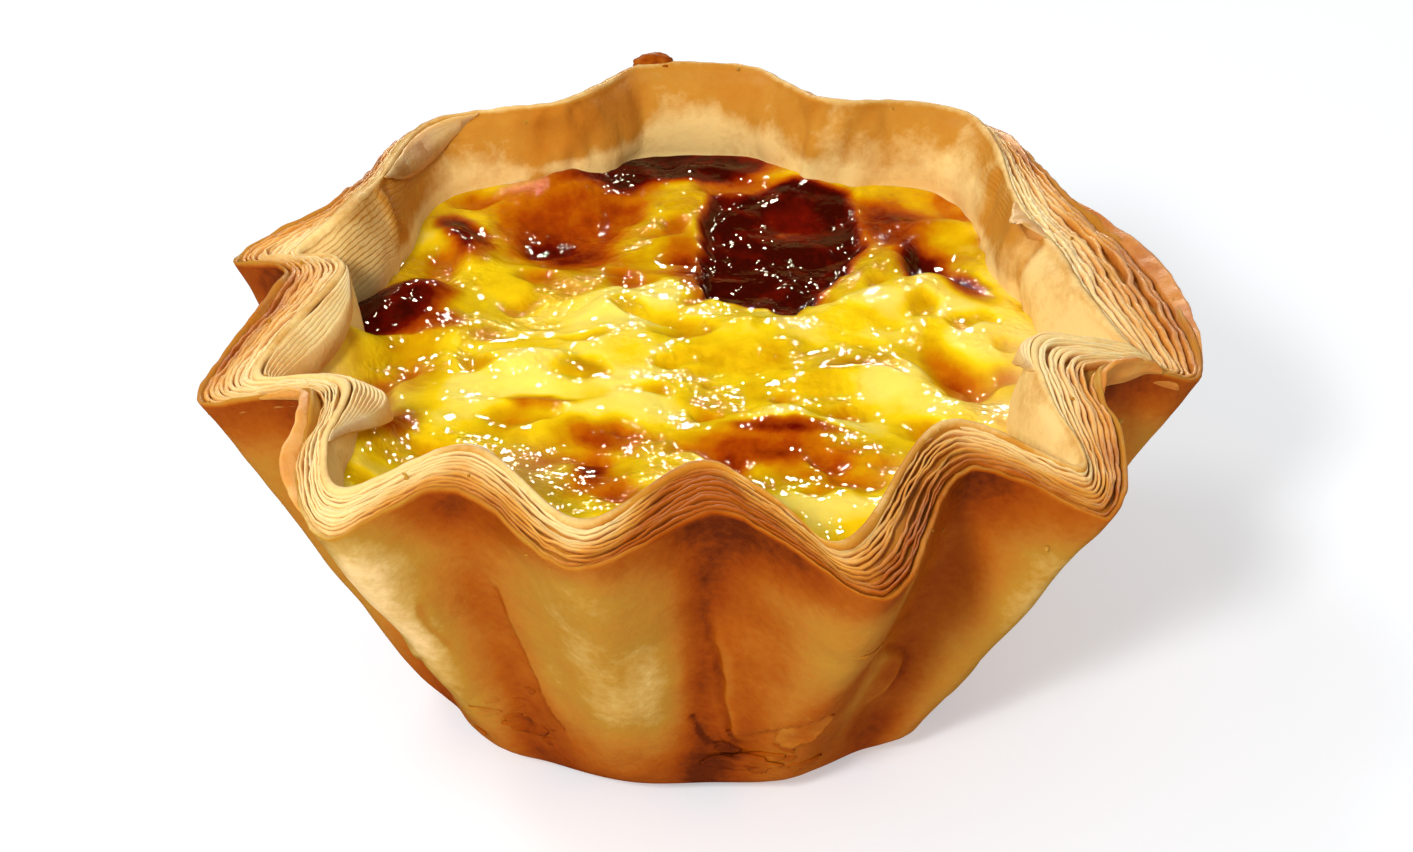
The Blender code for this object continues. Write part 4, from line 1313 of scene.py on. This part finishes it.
def leaf_tree():
    """Geometry nodes that set copies of the strip side by side across the lip."""
    tree, add, given = new_group("lip_leaves", {
        "Leaves": "Int", "Depth": "Float", "Wander": "Float", "Wave": "Float", "Fray": "Float",
        "Material": "Material"})
    number, share, gap_place, gap_share, loose, width, side, depth = (
        add(NAMED_ATTRIBUTE, name, data_type="FLOAT")
        for name in ("leaf", "spread", "gap_place", "gap_share", "loose", "width", "side", "depth"))
    outer, across, inwards, lip_up = (add(NAMED_ATTRIBUTE, name, data_type="FLOAT_VECTOR")
                                      for name in ("outer", "across", "inwards", "lip_up"))

    def wandering(size, seed, amount):
        """Noise of -amount to amount along a leaf, another one for each leaf."""
        fourth = add("MULTIPLY_ADD", number, 37.0, seed)
        texture = add(NOISE, {"Vector": outer, "W": fourth, "Scale": per_mm(size), "Detail": 1.0},
                      noise_dimensions="4D")
        centred = add("MULTIPLY_ADD", texture, 4.0, -2.0)
        return add("MULTIPLY", centred, amount)

    # Copies, each with its place across the lip
    single = add("GeometryNodeGeometryToInstance", given["Geometry"])
    copies = add("GeometryNodeDuplicateElements", {"Geometry": single, "Amount": given["Leaves"]},
                 domain="INSTANCE")
    ahead = add("ADD", copies.outputs["Duplicate Index"], 1.0)
    slots = add("ADD", given["Leaves"], 1.0)
    numbered = add(STORE_ATTRIBUTE, {
        "Geometry": copies, "Name": "leaf", "Value": add("DIVIDE", ahead, slots)},
        data_type="FLOAT", domain="INSTANCE")
    real = add("GeometryNodeRealizeInstances", numbered)

    # Place across the lip: pushed aside by gaps, and kept within the lip
    leaf = add("MULTIPLY_ADD", number, share, 0.07)
    off = add("SUBTRACT", leaf, gap_place)
    near = add("DIVIDE", off, LEAF_REPEL)
    squared = add("MULTIPLY", near, near)
    weight = add("EXPONENT", add("MULTIPLY", squared, -1.0))
    distance = add("ADD", add("ABSOLUTE", off), 0.03)
    side_of_gap = add("DIVIDE", off, distance)
    weighed = add("MULTIPLY", side_of_gap, weight)
    half_gap = add("MULTIPLY", gap_share, 0.5)
    pushed = add("ADD", leaf, add("MULTIPLY", weighed, half_gap))
    kept_in = add("MINIMUM", add("MAXIMUM", pushed, 0.05), 0.95)
    shifted = add(VECTOR_MATH, {0: across, "Scale": kept_in}, operation="SCALE")
    base = add(VECTOR_MATH, outer, shifted, operation="ADD")

    # Sideways: the section's width, which fills the pitch where leaves are tight, and the wander
    stack = add("MULTIPLY", width, share)
    pitch = add("DIVIDE", stack, slots)
    filling = add("MULTIPLY_ADD", loose, LOOSE_LEAF - TIGHT_LEAF, TIGHT_LEAF)
    uneven = add("ADD", wandering(4.0, 3.0, 0.24), wandering(14.0, 4.0, 0.30))
    body = add("MULTIPLY", add("ADD", uneven, 1.0), filling)
    half = add("MULTIPLY", add("MULTIPLY", side, pitch), body)
    freedom = add("MULTIPLY_ADD", loose, 0.75, 0.25)
    reach = add("MULTIPLY", given["Wander"], freedom)
    short_reach = add("MULTIPLY", reach, 0.45)
    stray = add("ADD", wandering(6.0, 1.0, reach), wandering(1.9, 2.0, short_reach))
    sideways = add(VECTOR_MATH, {0: inwards, "Scale": add("ADD", half, stray)}, operation="SCALE")

    # Upwards: the section's depth, the wave and the frayed edge, which fades down the leaf
    shown = add("SUBTRACT", 1.0, depth)
    frayed = add("MULTIPLY", wandering(0.9, 6.0, given["Fray"]), shown)
    wave = add("ADD", wandering(5.0, 5.0, given["Wave"]), frayed)
    sunk = add("MULTIPLY", depth, given["Depth"])
    level = add("SUBTRACT", wave, sunk)
    height = add("ADD", level, LEAF_RIDGE * MM)
    upward = add(VECTOR_MATH, {0: lip_up, "Scale": height}, operation="SCALE")

    beside = add(VECTOR_MATH, base, sideways, operation="ADD")
    place = add(VECTOR_MATH, beside, upward, operation="ADD")
    placed = add("GeometryNodeSetPosition", {"Geometry": real, "Position": place})
    smooth = add("GeometryNodeSetShadeSmooth", {"Geometry": placed})
    painted = add("GeometryNodeSetMaterial", {"Geometry": smooth, "Material": given["Material"]})
    add("NodeGroupOutput", painted)
    return tree


def grown(name, mesh, tree, values):
    """Runs a node tree on a mesh and returns the plain mesh that it makes, as a piece."""
    piece = add_piece(name, mesh)
    modifier = piece.modifiers.new(tree.name, "NODES")
    modifier.node_group = tree
    for item in tree.interface.items_tree:
        if item.in_out == "INPUT" and item.name in values:
            modifier[item.identifier] = values[item.name]
    graph = bpy.context.evaluated_depsgraph_get()
    plain = bpy.data.meshes.new_from_object(piece.evaluated_get(graph))
    piece.modifiers.remove(modifier)
    piece.data = plain
    plain.name = name
    return piece


class TART_OT_lip_leaves(bpy.types.Operator):
    """Model the thin leaves of dough that show in the cut lip"""
    bl_idname = "tart.lip_leaves"
    bl_label = "Leaves of the lip"

    def execute(self, context):
        sizes = context.scene.tart_sizes
        piece = grown("lip_leaves", leaf_strip(Rim(COLUMNS)), leaf_tree(), {
            "Leaves": sizes.leaves, "Depth": sizes.leaf_depth, "Wander": sizes.leaf_wander,
            "Wave": sizes.leaf_wave, "Fray": sizes.leaf_fray,
            "Material": leaf_edges()})
        dress(piece, "pastry", "crust")
        return {"FINISHED"}


def standing_leaf(rim, start, end, place, height, lean, thickness, raggedness, paleness,
                  inwards=0.0, below=0.0, root=LEAF_ROOT):
    """A leaf apart from the stack: its sections along the lip, its two ends and its finish."""
    span = (end - start) % 360.0
    along = (np.degrees(rim.turn) - start) % 360.0
    chosen = np.flatnonzero(along <= span)
    chosen = chosen[np.argsort(along[chosen])]
    ahead = rim.inwards[chosen] * (1.0, 1.0, 0.0)
    ahead /= np.linalg.norm(ahead, axis=1)[:, None]
    up = rim.up[chosen]
    full = np.sin(np.pi * along[chosen] / span) ** 0.8
    base = rim.outer[chosen] + rim.across[chosen] * place
    base = base + (ahead * inwards - (0.0, 0.0, below)) * (full ** 0.6)[:, None]
    torn = 1.0 + raggedness * noise_layers(base, (1.0, 1.7, 71), (0.5, 0.7, 72))
    wander = 0.3 * full * smooth_noise(base, 3.0, 73)
    sections = []
    for level, side in STANDING_SECTION:
        free = max(level, 0.0)
        rise = level * height * full * torn if level >= 0.0 else -root * full
        curled = (lean * full + wander) * free ** 1.6
        half = 0.5 * thickness * full ** 0.5 * (1.0 - 0.55 * free) * side
        sections.append(base + up * rise[:, None] - rim.inwards[chosen] * (curled + half)[:, None])
    rows = np.stack(sections, axis=1)
    # Lower down, a standing leaf turns to the gap colour, in part painted shade
    depth = 0.4 * np.clip([0.5 - level for level, _ in STANDING_SECTION], 0.0, 1.0)
    finish = {"leaf": np.full(rows.shape[:2], paleness), "depth": np.tile(depth, (len(rows), 1))}
    return rows, rows[0].mean(axis=0), rows[-1].mean(axis=0), finish


class TART_OT_stray_leaves(bpy.types.Operator):
    """Model the leaves that stand apart from the stack, and the torn flap at the inner corner"""
    bl_idname = "tart.stray_leaves"
    bl_label = "Stray leaves"

    def execute(self, context):
        rim = Rim(COLUMNS)
        leaves = [standing_leaf(rim, *row) for row in STRAY_LEAVES]
        for start, end, count, pitch, drop, root, paleness in FANS:
            # Each next leaf is a little shorter, and lies further in and lower
            leaves += [
                standing_leaf(rim, start + 0.6 * k, end - 0.5 * k, place=1.0, height=FAN_HEIGHT,
                              lean=0.0, thickness=0.98 * pitch, raggedness=0.6, paleness=paleness,
                              inwards=k * pitch, below=k * drop, root=root)
                for k in range(1, count + 1)]
        dress(closed_bodies("stray_leaves", leaves, leaf_edges()), "pastry", "crust")
        return {"FINISHED"}


# ------------------------------------------------------------------ scales and crumbs

def wall_scale(rim, seed, row):
    """A thin uneven scale on the wall: rooted in its middle, with its edge curled off."""
    azimuth, height, length, rise, turned, browner = row
    middle = math.radians(azimuth)
    share = height / float(np.interp(middle, rim.turn, rim.outer[:, 2], period=math.tau))
    foot, rim_top, centre = rim.wall_point(np.full(3, middle), np.array((0.0, 1.0, share)))
    radius = float(np.linalg.norm(centre[:2]))
    wall_length = float(np.linalg.norm(rim_top - foot))
    spokes = np.linspace(0.0, math.tau, SCALE_SPOKES, endpoint=False)
    across, along = np.cos(spokes), np.sin(spokes)
    unit_circle = np.column_stack((across, along, np.full(SCALE_SPOKES, 9.0 * seed)))
    uneven = 1.0 + noise_layers(
        unit_circle, (0.40, 0.9, seed), (0.24, 0.3, seed), (0.10, 0.14, seed))
    angle = math.radians(turned)
    # Each scale is free on a side of its own
    free = 0.5 + 0.5 * np.cos(spokes - 2.6 * seed - 2.8)
    rows, brown = [], []
    for under, ring in [(True, r) for r in SCALE_RINGS] + [(False, r) for r in SCALE_RINGS[-2::-1]]:
        a = 0.5 * length * ring * uneven * across
        b = 0.5 * rise * ring * uneven * along
        turn = middle + (a * math.cos(angle) - b * math.sin(angle)) / radius
        shares = share + (a * math.sin(angle) + b * math.cos(angle)) / wall_length
        spot = rim.wall_point(turn, shares)
        outward = np.cross(rim.wall_point(turn + 0.01, shares) - spot,
                           rim.wall_point(turn, shares + 0.01) - spot)
        outward /= np.linalg.norm(outward, axis=1)[:, None]
        curl = SCALE_CURL * min(1.0, length / 4.0) ** 2 * free * ring ** 3
        thin = SCALE_THICKNESS * (1.0 - 0.6 * ring ** 2)
        top = 0.04 + curl + 0.10 * smooth_noise(spot, 1.2, seed)
        away = np.where(ring < 0.75, -SCALE_ROOT, top - thin) if under else top
        rows.append(spot + outward * away[:, None])
        crest = np.interp(turn, rim.turn, rim.crest(), period=math.tau)
        tone = wall_tone(np.degrees(turn), shares, crest, spot)
        brown.append(tone + browner + 0.08 * smooth_noise(spot, 1.5, seed) + 0.06 * (ring > 0.9))
    rows = np.array(rows)
    brown = np.clip(np.array(brown), 0.0, 1.0)
    return rows, rows[0].mean(axis=0), rows[-1].mean(axis=0), {"browning": brown}


class TART_OT_wall_scales(bpy.types.Operator):
    """Model the scales of dough that have lifted from the wall"""
    bl_idname = "tart.wall_scales"
    bl_label = "Scales of the wall"

    def execute(self, context):
        rim = Rim(COLUMNS)
        scales = [wall_scale(rim, seed, row) for seed, row in enumerate(SCALES, 1)]
        dress(closed_bodies("wall_scales", scales, pastry_wall()), "pastry", "crust")
        return {"FINISHED"}


def rear_crumb(rim):
    """The browned crumb on the rear lip: a lump sunk a little into the leaves."""
    angle = math.radians(CRUMB_AZIMUTH)
    column = int(np.argmin(np.abs((rim.turn - angle + math.pi) % math.tau - math.pi)))
    centre = (1.0 - CRUMB_PLACE) * rim.outer[column] + CRUMB_PLACE * rim.inner[column]
    centre[2] += CRUMB_LIFT
    tilts = np.linspace(-0.5 * math.pi, 0.5 * math.pi, CRUMB_RINGS + 2)[1:-1, None]
    turns = np.linspace(0.0, math.tau, CRUMB_SPOKES, endpoint=False)[None, :]
    level = np.cos(tilts)
    ball = 0.5 * np.stack(np.broadcast_arrays(
        level * np.cos(turns), level * np.sin(turns), np.sin(tilts)), axis=-1)
    rough = 1.0 + noise_layers(ball, (0.25, 0.42, 0), (0.14, 0.16, 81), (0.05, 0.07, 82))
    rows = centre + ball * rough[..., None] * CRUMB_SIZE
    brown = 0.72 + 0.25 * smooth_noise(ball, 0.2, 83)
    return rows, rows[0].mean(axis=0), rows[-1].mean(axis=0), {"browning": np.clip(brown, 0.0, 1.0)}


def crumb_tree():
    """Geometry nodes that strew rough crumbs over a surface, sunk a little into it."""
    tree, add, given = new_group("crumbs", {
        "Density": "Float", "Size": "Float", "Material": "Material"})
    strewn = add("GeometryNodeDistributePointsOnFaces", {
        "Mesh": given["Geometry"], "Density": given["Density"], "Seed": 4})
    lump = add("GeometryNodeMeshIcoSphere", {"Radius": given["Size"], "Subdivisions": 2})
    place = add("GeometryNodeInputPosition")
    shape = add(VECTOR_MATH, {0: place, "Scale": CRUMB_BUMPS}, operation="SCALE")
    rough = add(NOISE, {"Vector": shape, "Scale": 1.0, "Detail": 2.0})
    swell = add("MULTIPLY_ADD", rough, 1.6, -0.8)
    out = add(VECTOR_MATH, {0: place, "Scale": swell}, operation="SCALE")
    jagged = add("GeometryNodeSetPosition", {"Geometry": lump, "Offset": out})
    turned, sized = (
        add("FunctionNodeRandomValue", {"Min": least, "Max": most, "Seed": seed},
            data_type="FLOAT_VECTOR")
        for least, most, seed in ((*CRUMB_TURNS, 5), (*CRUMB_STRETCH, 6)))
    placed = add("GeometryNodeInstanceOnPoints", {
        "Points": strewn, "Instance": jagged, "Rotation": turned, "Scale": sized})
    real = add("GeometryNodeRealizeInstances", placed)
    painted = add("GeometryNodeSetMaterial", {"Geometry": real, "Material": given["Material"]})
    toned = add(STORE_ATTRIBUTE, {"Geometry": painted, "Name": "browning", "Value": CRUMB_BROWNING},
                data_type="FLOAT")
    add("NodeGroupOutput", toned)
    return tree


def crumb_ground(rim):
    """The surface that crumbs lie on: the upper wall and the lip, as one sheet."""
    rows = [rim.outer_row(share) for share in (0.55, 0.75, 0.95)]
    rows += [lip_ring(rim, share * rim.width, 0.05) for share in (0.1, 0.5, 0.9)]
    rows += [rim.inner_row(share) for share in (1.0, 0.96, 0.92)]
    rows = np.array(rows)
    mesh = bpy.data.meshes.new("crumbs")
    mesh.from_pydata((rows.reshape(-1, 3) * MM).tolist(), [], ring_faces(*rows.shape[:2]))
    return mesh


class TART_OT_crumbs(bpy.types.Operator):
    """Model the browned crumb on the rear lip and strew small crumbs"""
    bl_idname = "tart.crumbs"
    bl_label = "Crumbs"

    def execute(self, context):
        sizes = context.scene.tart_sizes
        material = pastry_wall()
        dress(closed_bodies("rear_crumb", [rear_crumb(Rim(COLUMNS))], material), "pastry", "crust")
        ground = crumb_ground(Rim(CUSTARD_COLUMNS))
        area = sum(polygon.area for polygon in ground.polygons)
        strewn = grown("crumbs", ground, crumb_tree(), {
            "Density": sizes.crumbs / area, "Size": sizes.crumb_size, "Material": material})
        dress(strewn, "pastry")
        return {"FINISHED"}


# ------------------------------------------------------------------ the custard

def custard_forms(points, sizes):
    """How far the custard's top is lifted at each point, in mm, how brown it is with painted shade
    and light included, and how milky it is.
    """
    flat = points * (1.0, 1.0, 0.0)
    x = points[..., 0] + noise_layers(flat, (0.9, 5.0, 51), (0.3, 1.6, 53))
    y = points[..., 1] + noise_layers(flat, (0.9, 5.0, 52), (0.3, 1.6, 54))
    warped = np.stack((x * 0.8, y, np.zeros_like(x)), axis=-1)
    pillows = smooth_noise(warped, 7.0, 55)
    dimples = smoothstep(smooth_noise(warped, 3.2, 56), 0.05, 0.55)
    brown = sum(row[5] * oval(x, y, row, row[6]) for row in BROWNED_AND_SHADED)
    inside = depth_inside(x, y, PIT)
    pit = smoothstep(inside, -0.35 * PIT_SLOPE, PIT_SLOPE)
    calm = 1.0 - 0.85 * pit

    lift = sum(row[5] * oval(x, y, row) for row in SWELLS)
    # The pit's floor slopes down from its rear edge to its front wall
    lift = lift - PIT_DEPTH * pit * (0.30 + 0.70 * smoothstep(PIT_REAR - y, 0.0, PIT_LENGTH))
    lift += calm * (sizes.custard_lumps * pillows - sizes.custard_creases * dimples) / MM
    lift += calm * noise_layers(flat, (0.05, 1.4, 57), (0.10, 2.4, 62))
    skin = smoothstep(brown, 0.2, 0.6)
    lift += 0.06 * skin * smooth_noise(flat, 0.8, 60) + 0.45 * pit * smooth_noise(flat, 3.0, 58)

    # The pit is burnt, a little less so in its middle
    scorched = 0.90 + 0.12 * smooth_noise(flat, 4.0, 61) - 0.20 * oval(x, y, PIT_MIDDLE)
    brown = np.maximum(brown, smoothstep(inside, -0.9, 1.0) * scorched)
    brown += 0.10 + noise_layers(flat, (0.09, 9.0, 59), (0.12, 4.2, 63))
    # Painted shade makes the hollows more golden, and painted light makes the crests paler
    brown += 0.18 * dimples - 0.16 * pillows
    # The back has had more heat
    brown += 0.06 * smoothstep(flat[..., 1], 8.0, 28.0)
    milky = sum(row[5] * oval(x, y, row, 1.2) for row in MILKY) * smoothstep(-brown, -0.60, -0.30)
    return lift, np.clip(brown, 0.0, 1.0), np.clip(milky, 0.0, 1.0)


def custard_top(rim, sizes, material):
    """The filling down to the floor of the cup: skirt, swollen top and their finish."""
    edge = rim.custard_share()
    skirt = []
    for share in (0.08 * edge, 0.35 * edge, 0.70 * edge, 0.94 * edge, edge):
        ring = rim.inner_row(share)
        radius = np.hypot(ring[:, 0], ring[:, 1])[:, None]
        ring[:, :2] *= (radius + CUSTARD_BITE) / radius
        skirt.append(ring)
    floor = circle(rim.turn, FLOOR_RADIUS - 1.0, FLOOR_TOP + CUSTARD_CLEARANCE)
    brim = skirt[-1]
    reach = np.hypot(brim[:, 0], brim[:, 1])
    bearing = np.unwrap(np.arctan2(brim[:, 1], brim[:, 0]))
    count = len(bearing)
    even = bearing.mean() + math.tau * ((np.arange(count) + 0.5) / count - 0.5)
    shares = 1.0 - np.linspace(0.0, 1.0, CUSTARD_RINGS + 1)[1:-1]
    top = []
    for share in shares:
        # From the fluted brim the rings grow round, with evenly spaced points
        fluted = smoothstep(share, 0.45, 1.0)
        radius = share * (reach.mean() + (reach - reach.mean()) * fluted)
        angle = even + (bearing - even) * fluted
        level = CUSTARD_EDGE + CUSTARD_CROWN * (1.0 - share ** 2)
        top.append(circle(angle, radius, level))
    top = np.array(top)
    lift, brown, milky = custard_forms(top, sizes)
    settle = smoothstep((1.0 - shares) / SETTLE, 0.0, 1.0)[:, None]
    quick_settle = smoothstep((1.0 - shares) / (0.25 * SETTLE), 0.0, 1.0)[:, None]
    top[:, :, 2] = brim[None, :, 2] * (1.0 - settle) + (top[:, :, 2] + lift) * settle
    top[:, :, 2] += 0.6 * lift * (quick_settle - settle)
    rows = np.concatenate(([floor], skirt, top))
    skirt_brown = np.repeat(brown[:1] * 0.5, 1 + len(skirt), axis=0)
    skirt_milky = np.repeat(milky[:1], 1 + len(skirt), axis=0)
    middle = (0.0, 0.0, float(top[-1, :, 2].mean()))
    finish = {"browning": np.concatenate((skirt_brown, brown)),
              "milky": np.concatenate((skirt_milky, milky))}
    bottom = (0, 0, FLOOR_TOP + CUSTARD_CLEARANCE)
    return closed_bodies("custard_filling", [(rows, bottom, middle, finish)], material)


class TART_OT_custard(bpy.types.Operator):
    """Model the baked custard with its pillows, folds and scorched patches"""
    bl_idname = "tart.custard"
    bl_label = "Custard"

    def execute(self, context):
        piece = custard_top(Rim(CUSTARD_COLUMNS), context.scene.tart_sizes, baked_custard())
        dress(piece, "custard", "custard")
        return {"FINISHED"}


# ------------------------------------------------------------------ the stage

class TART_OT_stage(bpy.types.Operator):
    """Lay the ground and set up the camera, the softboxes and the white room"""
    bl_idname = "tart.stage"
    bl_label = "Ground, light and camera"

    def execute(self, context):
        scene = context.scene
        stage = scene.tart_stage
        corners = [(x * GROUND_HALF, y * GROUND_HALF, 0)
                   for x, y in ((-1, -1), (1, -1), (1, 1), (-1, 1))]
        mesh = bpy.data.meshes.new("ground")
        mesh.from_pydata(corners, [], [(0, 1, 2, 3)])
        mesh.materials.append(seamless_ground())
        ground = add_piece("ground", mesh)
        ground.visible_glossy = False
        self.place_camera(scene, stage)
        softbox("key", *KEY_LAMP, stage.key_watts, shows=False)
        softbox("side", *SIDE_LAMP, stage.side_watts, shows=False)
        for number, place in enumerate(GLINT_LAMPS, 1):
            softbox(f"glint_{number}", place, GLINT_SIDE, stage.glint_watts, fills=False)
        world = bpy.data.worlds.new("white_room")
        world.use_nodes = True
        room = world.node_tree.nodes["Background"].inputs
        room["Color"].default_value = (*ROOM_COLOUR, 1.0)
        room["Strength"].default_value = stage.surround
        # The room and the ground fill the shadows, but gloss shows the glint lamps alone
        world.cycles_visibility.glossy = False
        scene.world = world
        scene.view_settings.view_transform = "Standard"
        return {"FINISHED"}

    def place_camera(self, scene, stage):
        """The photograph's view: the sole's middle lies below and left of the picture's centre."""
        camera = bpy.data.cameras.new("view")
        camera.sensor_width = 36.0
        camera.lens = camera.sensor_width * stage.distance / stage.width
        camera.shift_x = (IMAGE_WIDTH / 2 - SOLE_SPOT[0]) / IMAGE_WIDTH
        camera.shift_y = (SOLE_SPOT[1] - IMAGE_HEIGHT / 2) / IMAGE_WIDTH
        camera.clip_start = 0.01
        obj = bpy.data.objects.new("view", camera)
        obj.location = (0.0, -stage.distance * math.cos(stage.elevation),
                        stage.distance * math.sin(stage.elevation))
        obj.rotation_euler = (math.pi / 2 - stage.elevation, 0.0, 0.0)
        scene.collection.objects.link(obj)
        scene.camera = obj


def softbox(name, place, size, watts, fills=True, shows=True):
    """A square area light that faces the tart; one that doesn't fill is seen only in the gloss.

    One that doesn't show lights the tart without being seen in the gloss.
    """
    light = bpy.data.lights.new(name, "AREA")
    light.shape = "SQUARE"
    light.size = size
    light.energy = watts
    obj = bpy.data.objects.new(name, light)
    obj.location = place
    aim = Vector(LAMP_AIM) - Vector(place)
    obj.rotation_euler = aim.to_track_quat("-Z", "Y").to_euler()
    obj.visible_diffuse = fills
    obj.visible_glossy = shows
    if not fills:
        light.color = GLINT_COLOUR
    bpy.context.scene.collection.objects.link(obj)


class TART_PT_panel(bpy.types.Panel):
    """Lists the steps that build the tart"""
    bl_idname = "TART_PT_panel"
    bl_label = "Croissant tart"
    bl_space_type = "VIEW_3D"
    bl_region_type = "UI"
    bl_category = "Tart"

    def draw(self, context):
        layout = self.layout
        for operator in STEPS:
            layout.operator(operator.bl_idname)
        for group in GROUPS:
            values = getattr(context.scene, group)
            for name in values.__annotations__:
                layout.prop(values, name)


STEPS = (TART_OT_stage, TART_OT_pastry_cup, TART_OT_lip_leaves, TART_OT_stray_leaves,
         TART_OT_wall_scales, TART_OT_crumbs, TART_OT_custard)
GROUPS = {"tart_sizes": TartSizes, "tart_colours": TartColours, "tart_stage": TartStage}


def register():
    """Adds the classes and the scene's groups of properties."""
    for cls in (*GROUPS.values(), *STEPS, TART_PT_panel):
        bpy.utils.register_class(cls)
    for name, group in GROUPS.items():
        setattr(bpy.types.Scene, name, bpy.props.PointerProperty(type=group))


def unregister():
    """Takes them away again."""
    for name in GROUPS:
        delattr(bpy.types.Scene, name)
    for cls in (TART_PT_panel, *reversed(STEPS), *reversed(GROUPS.values())):
        bpy.utils.unregister_class(cls)


def main():
    """Builds the tart step by step."""
    register()
    bpy.ops.tart.stage()
    bpy.ops.tart.pastry_cup()
    bpy.ops.tart.lip_leaves()
    bpy.ops.tart.stray_leaves()
    bpy.ops.tart.wall_scales()
    bpy.ops.tart.crumbs()
    bpy.ops.tart.custard()


if __name__ == "__main__":
    main()
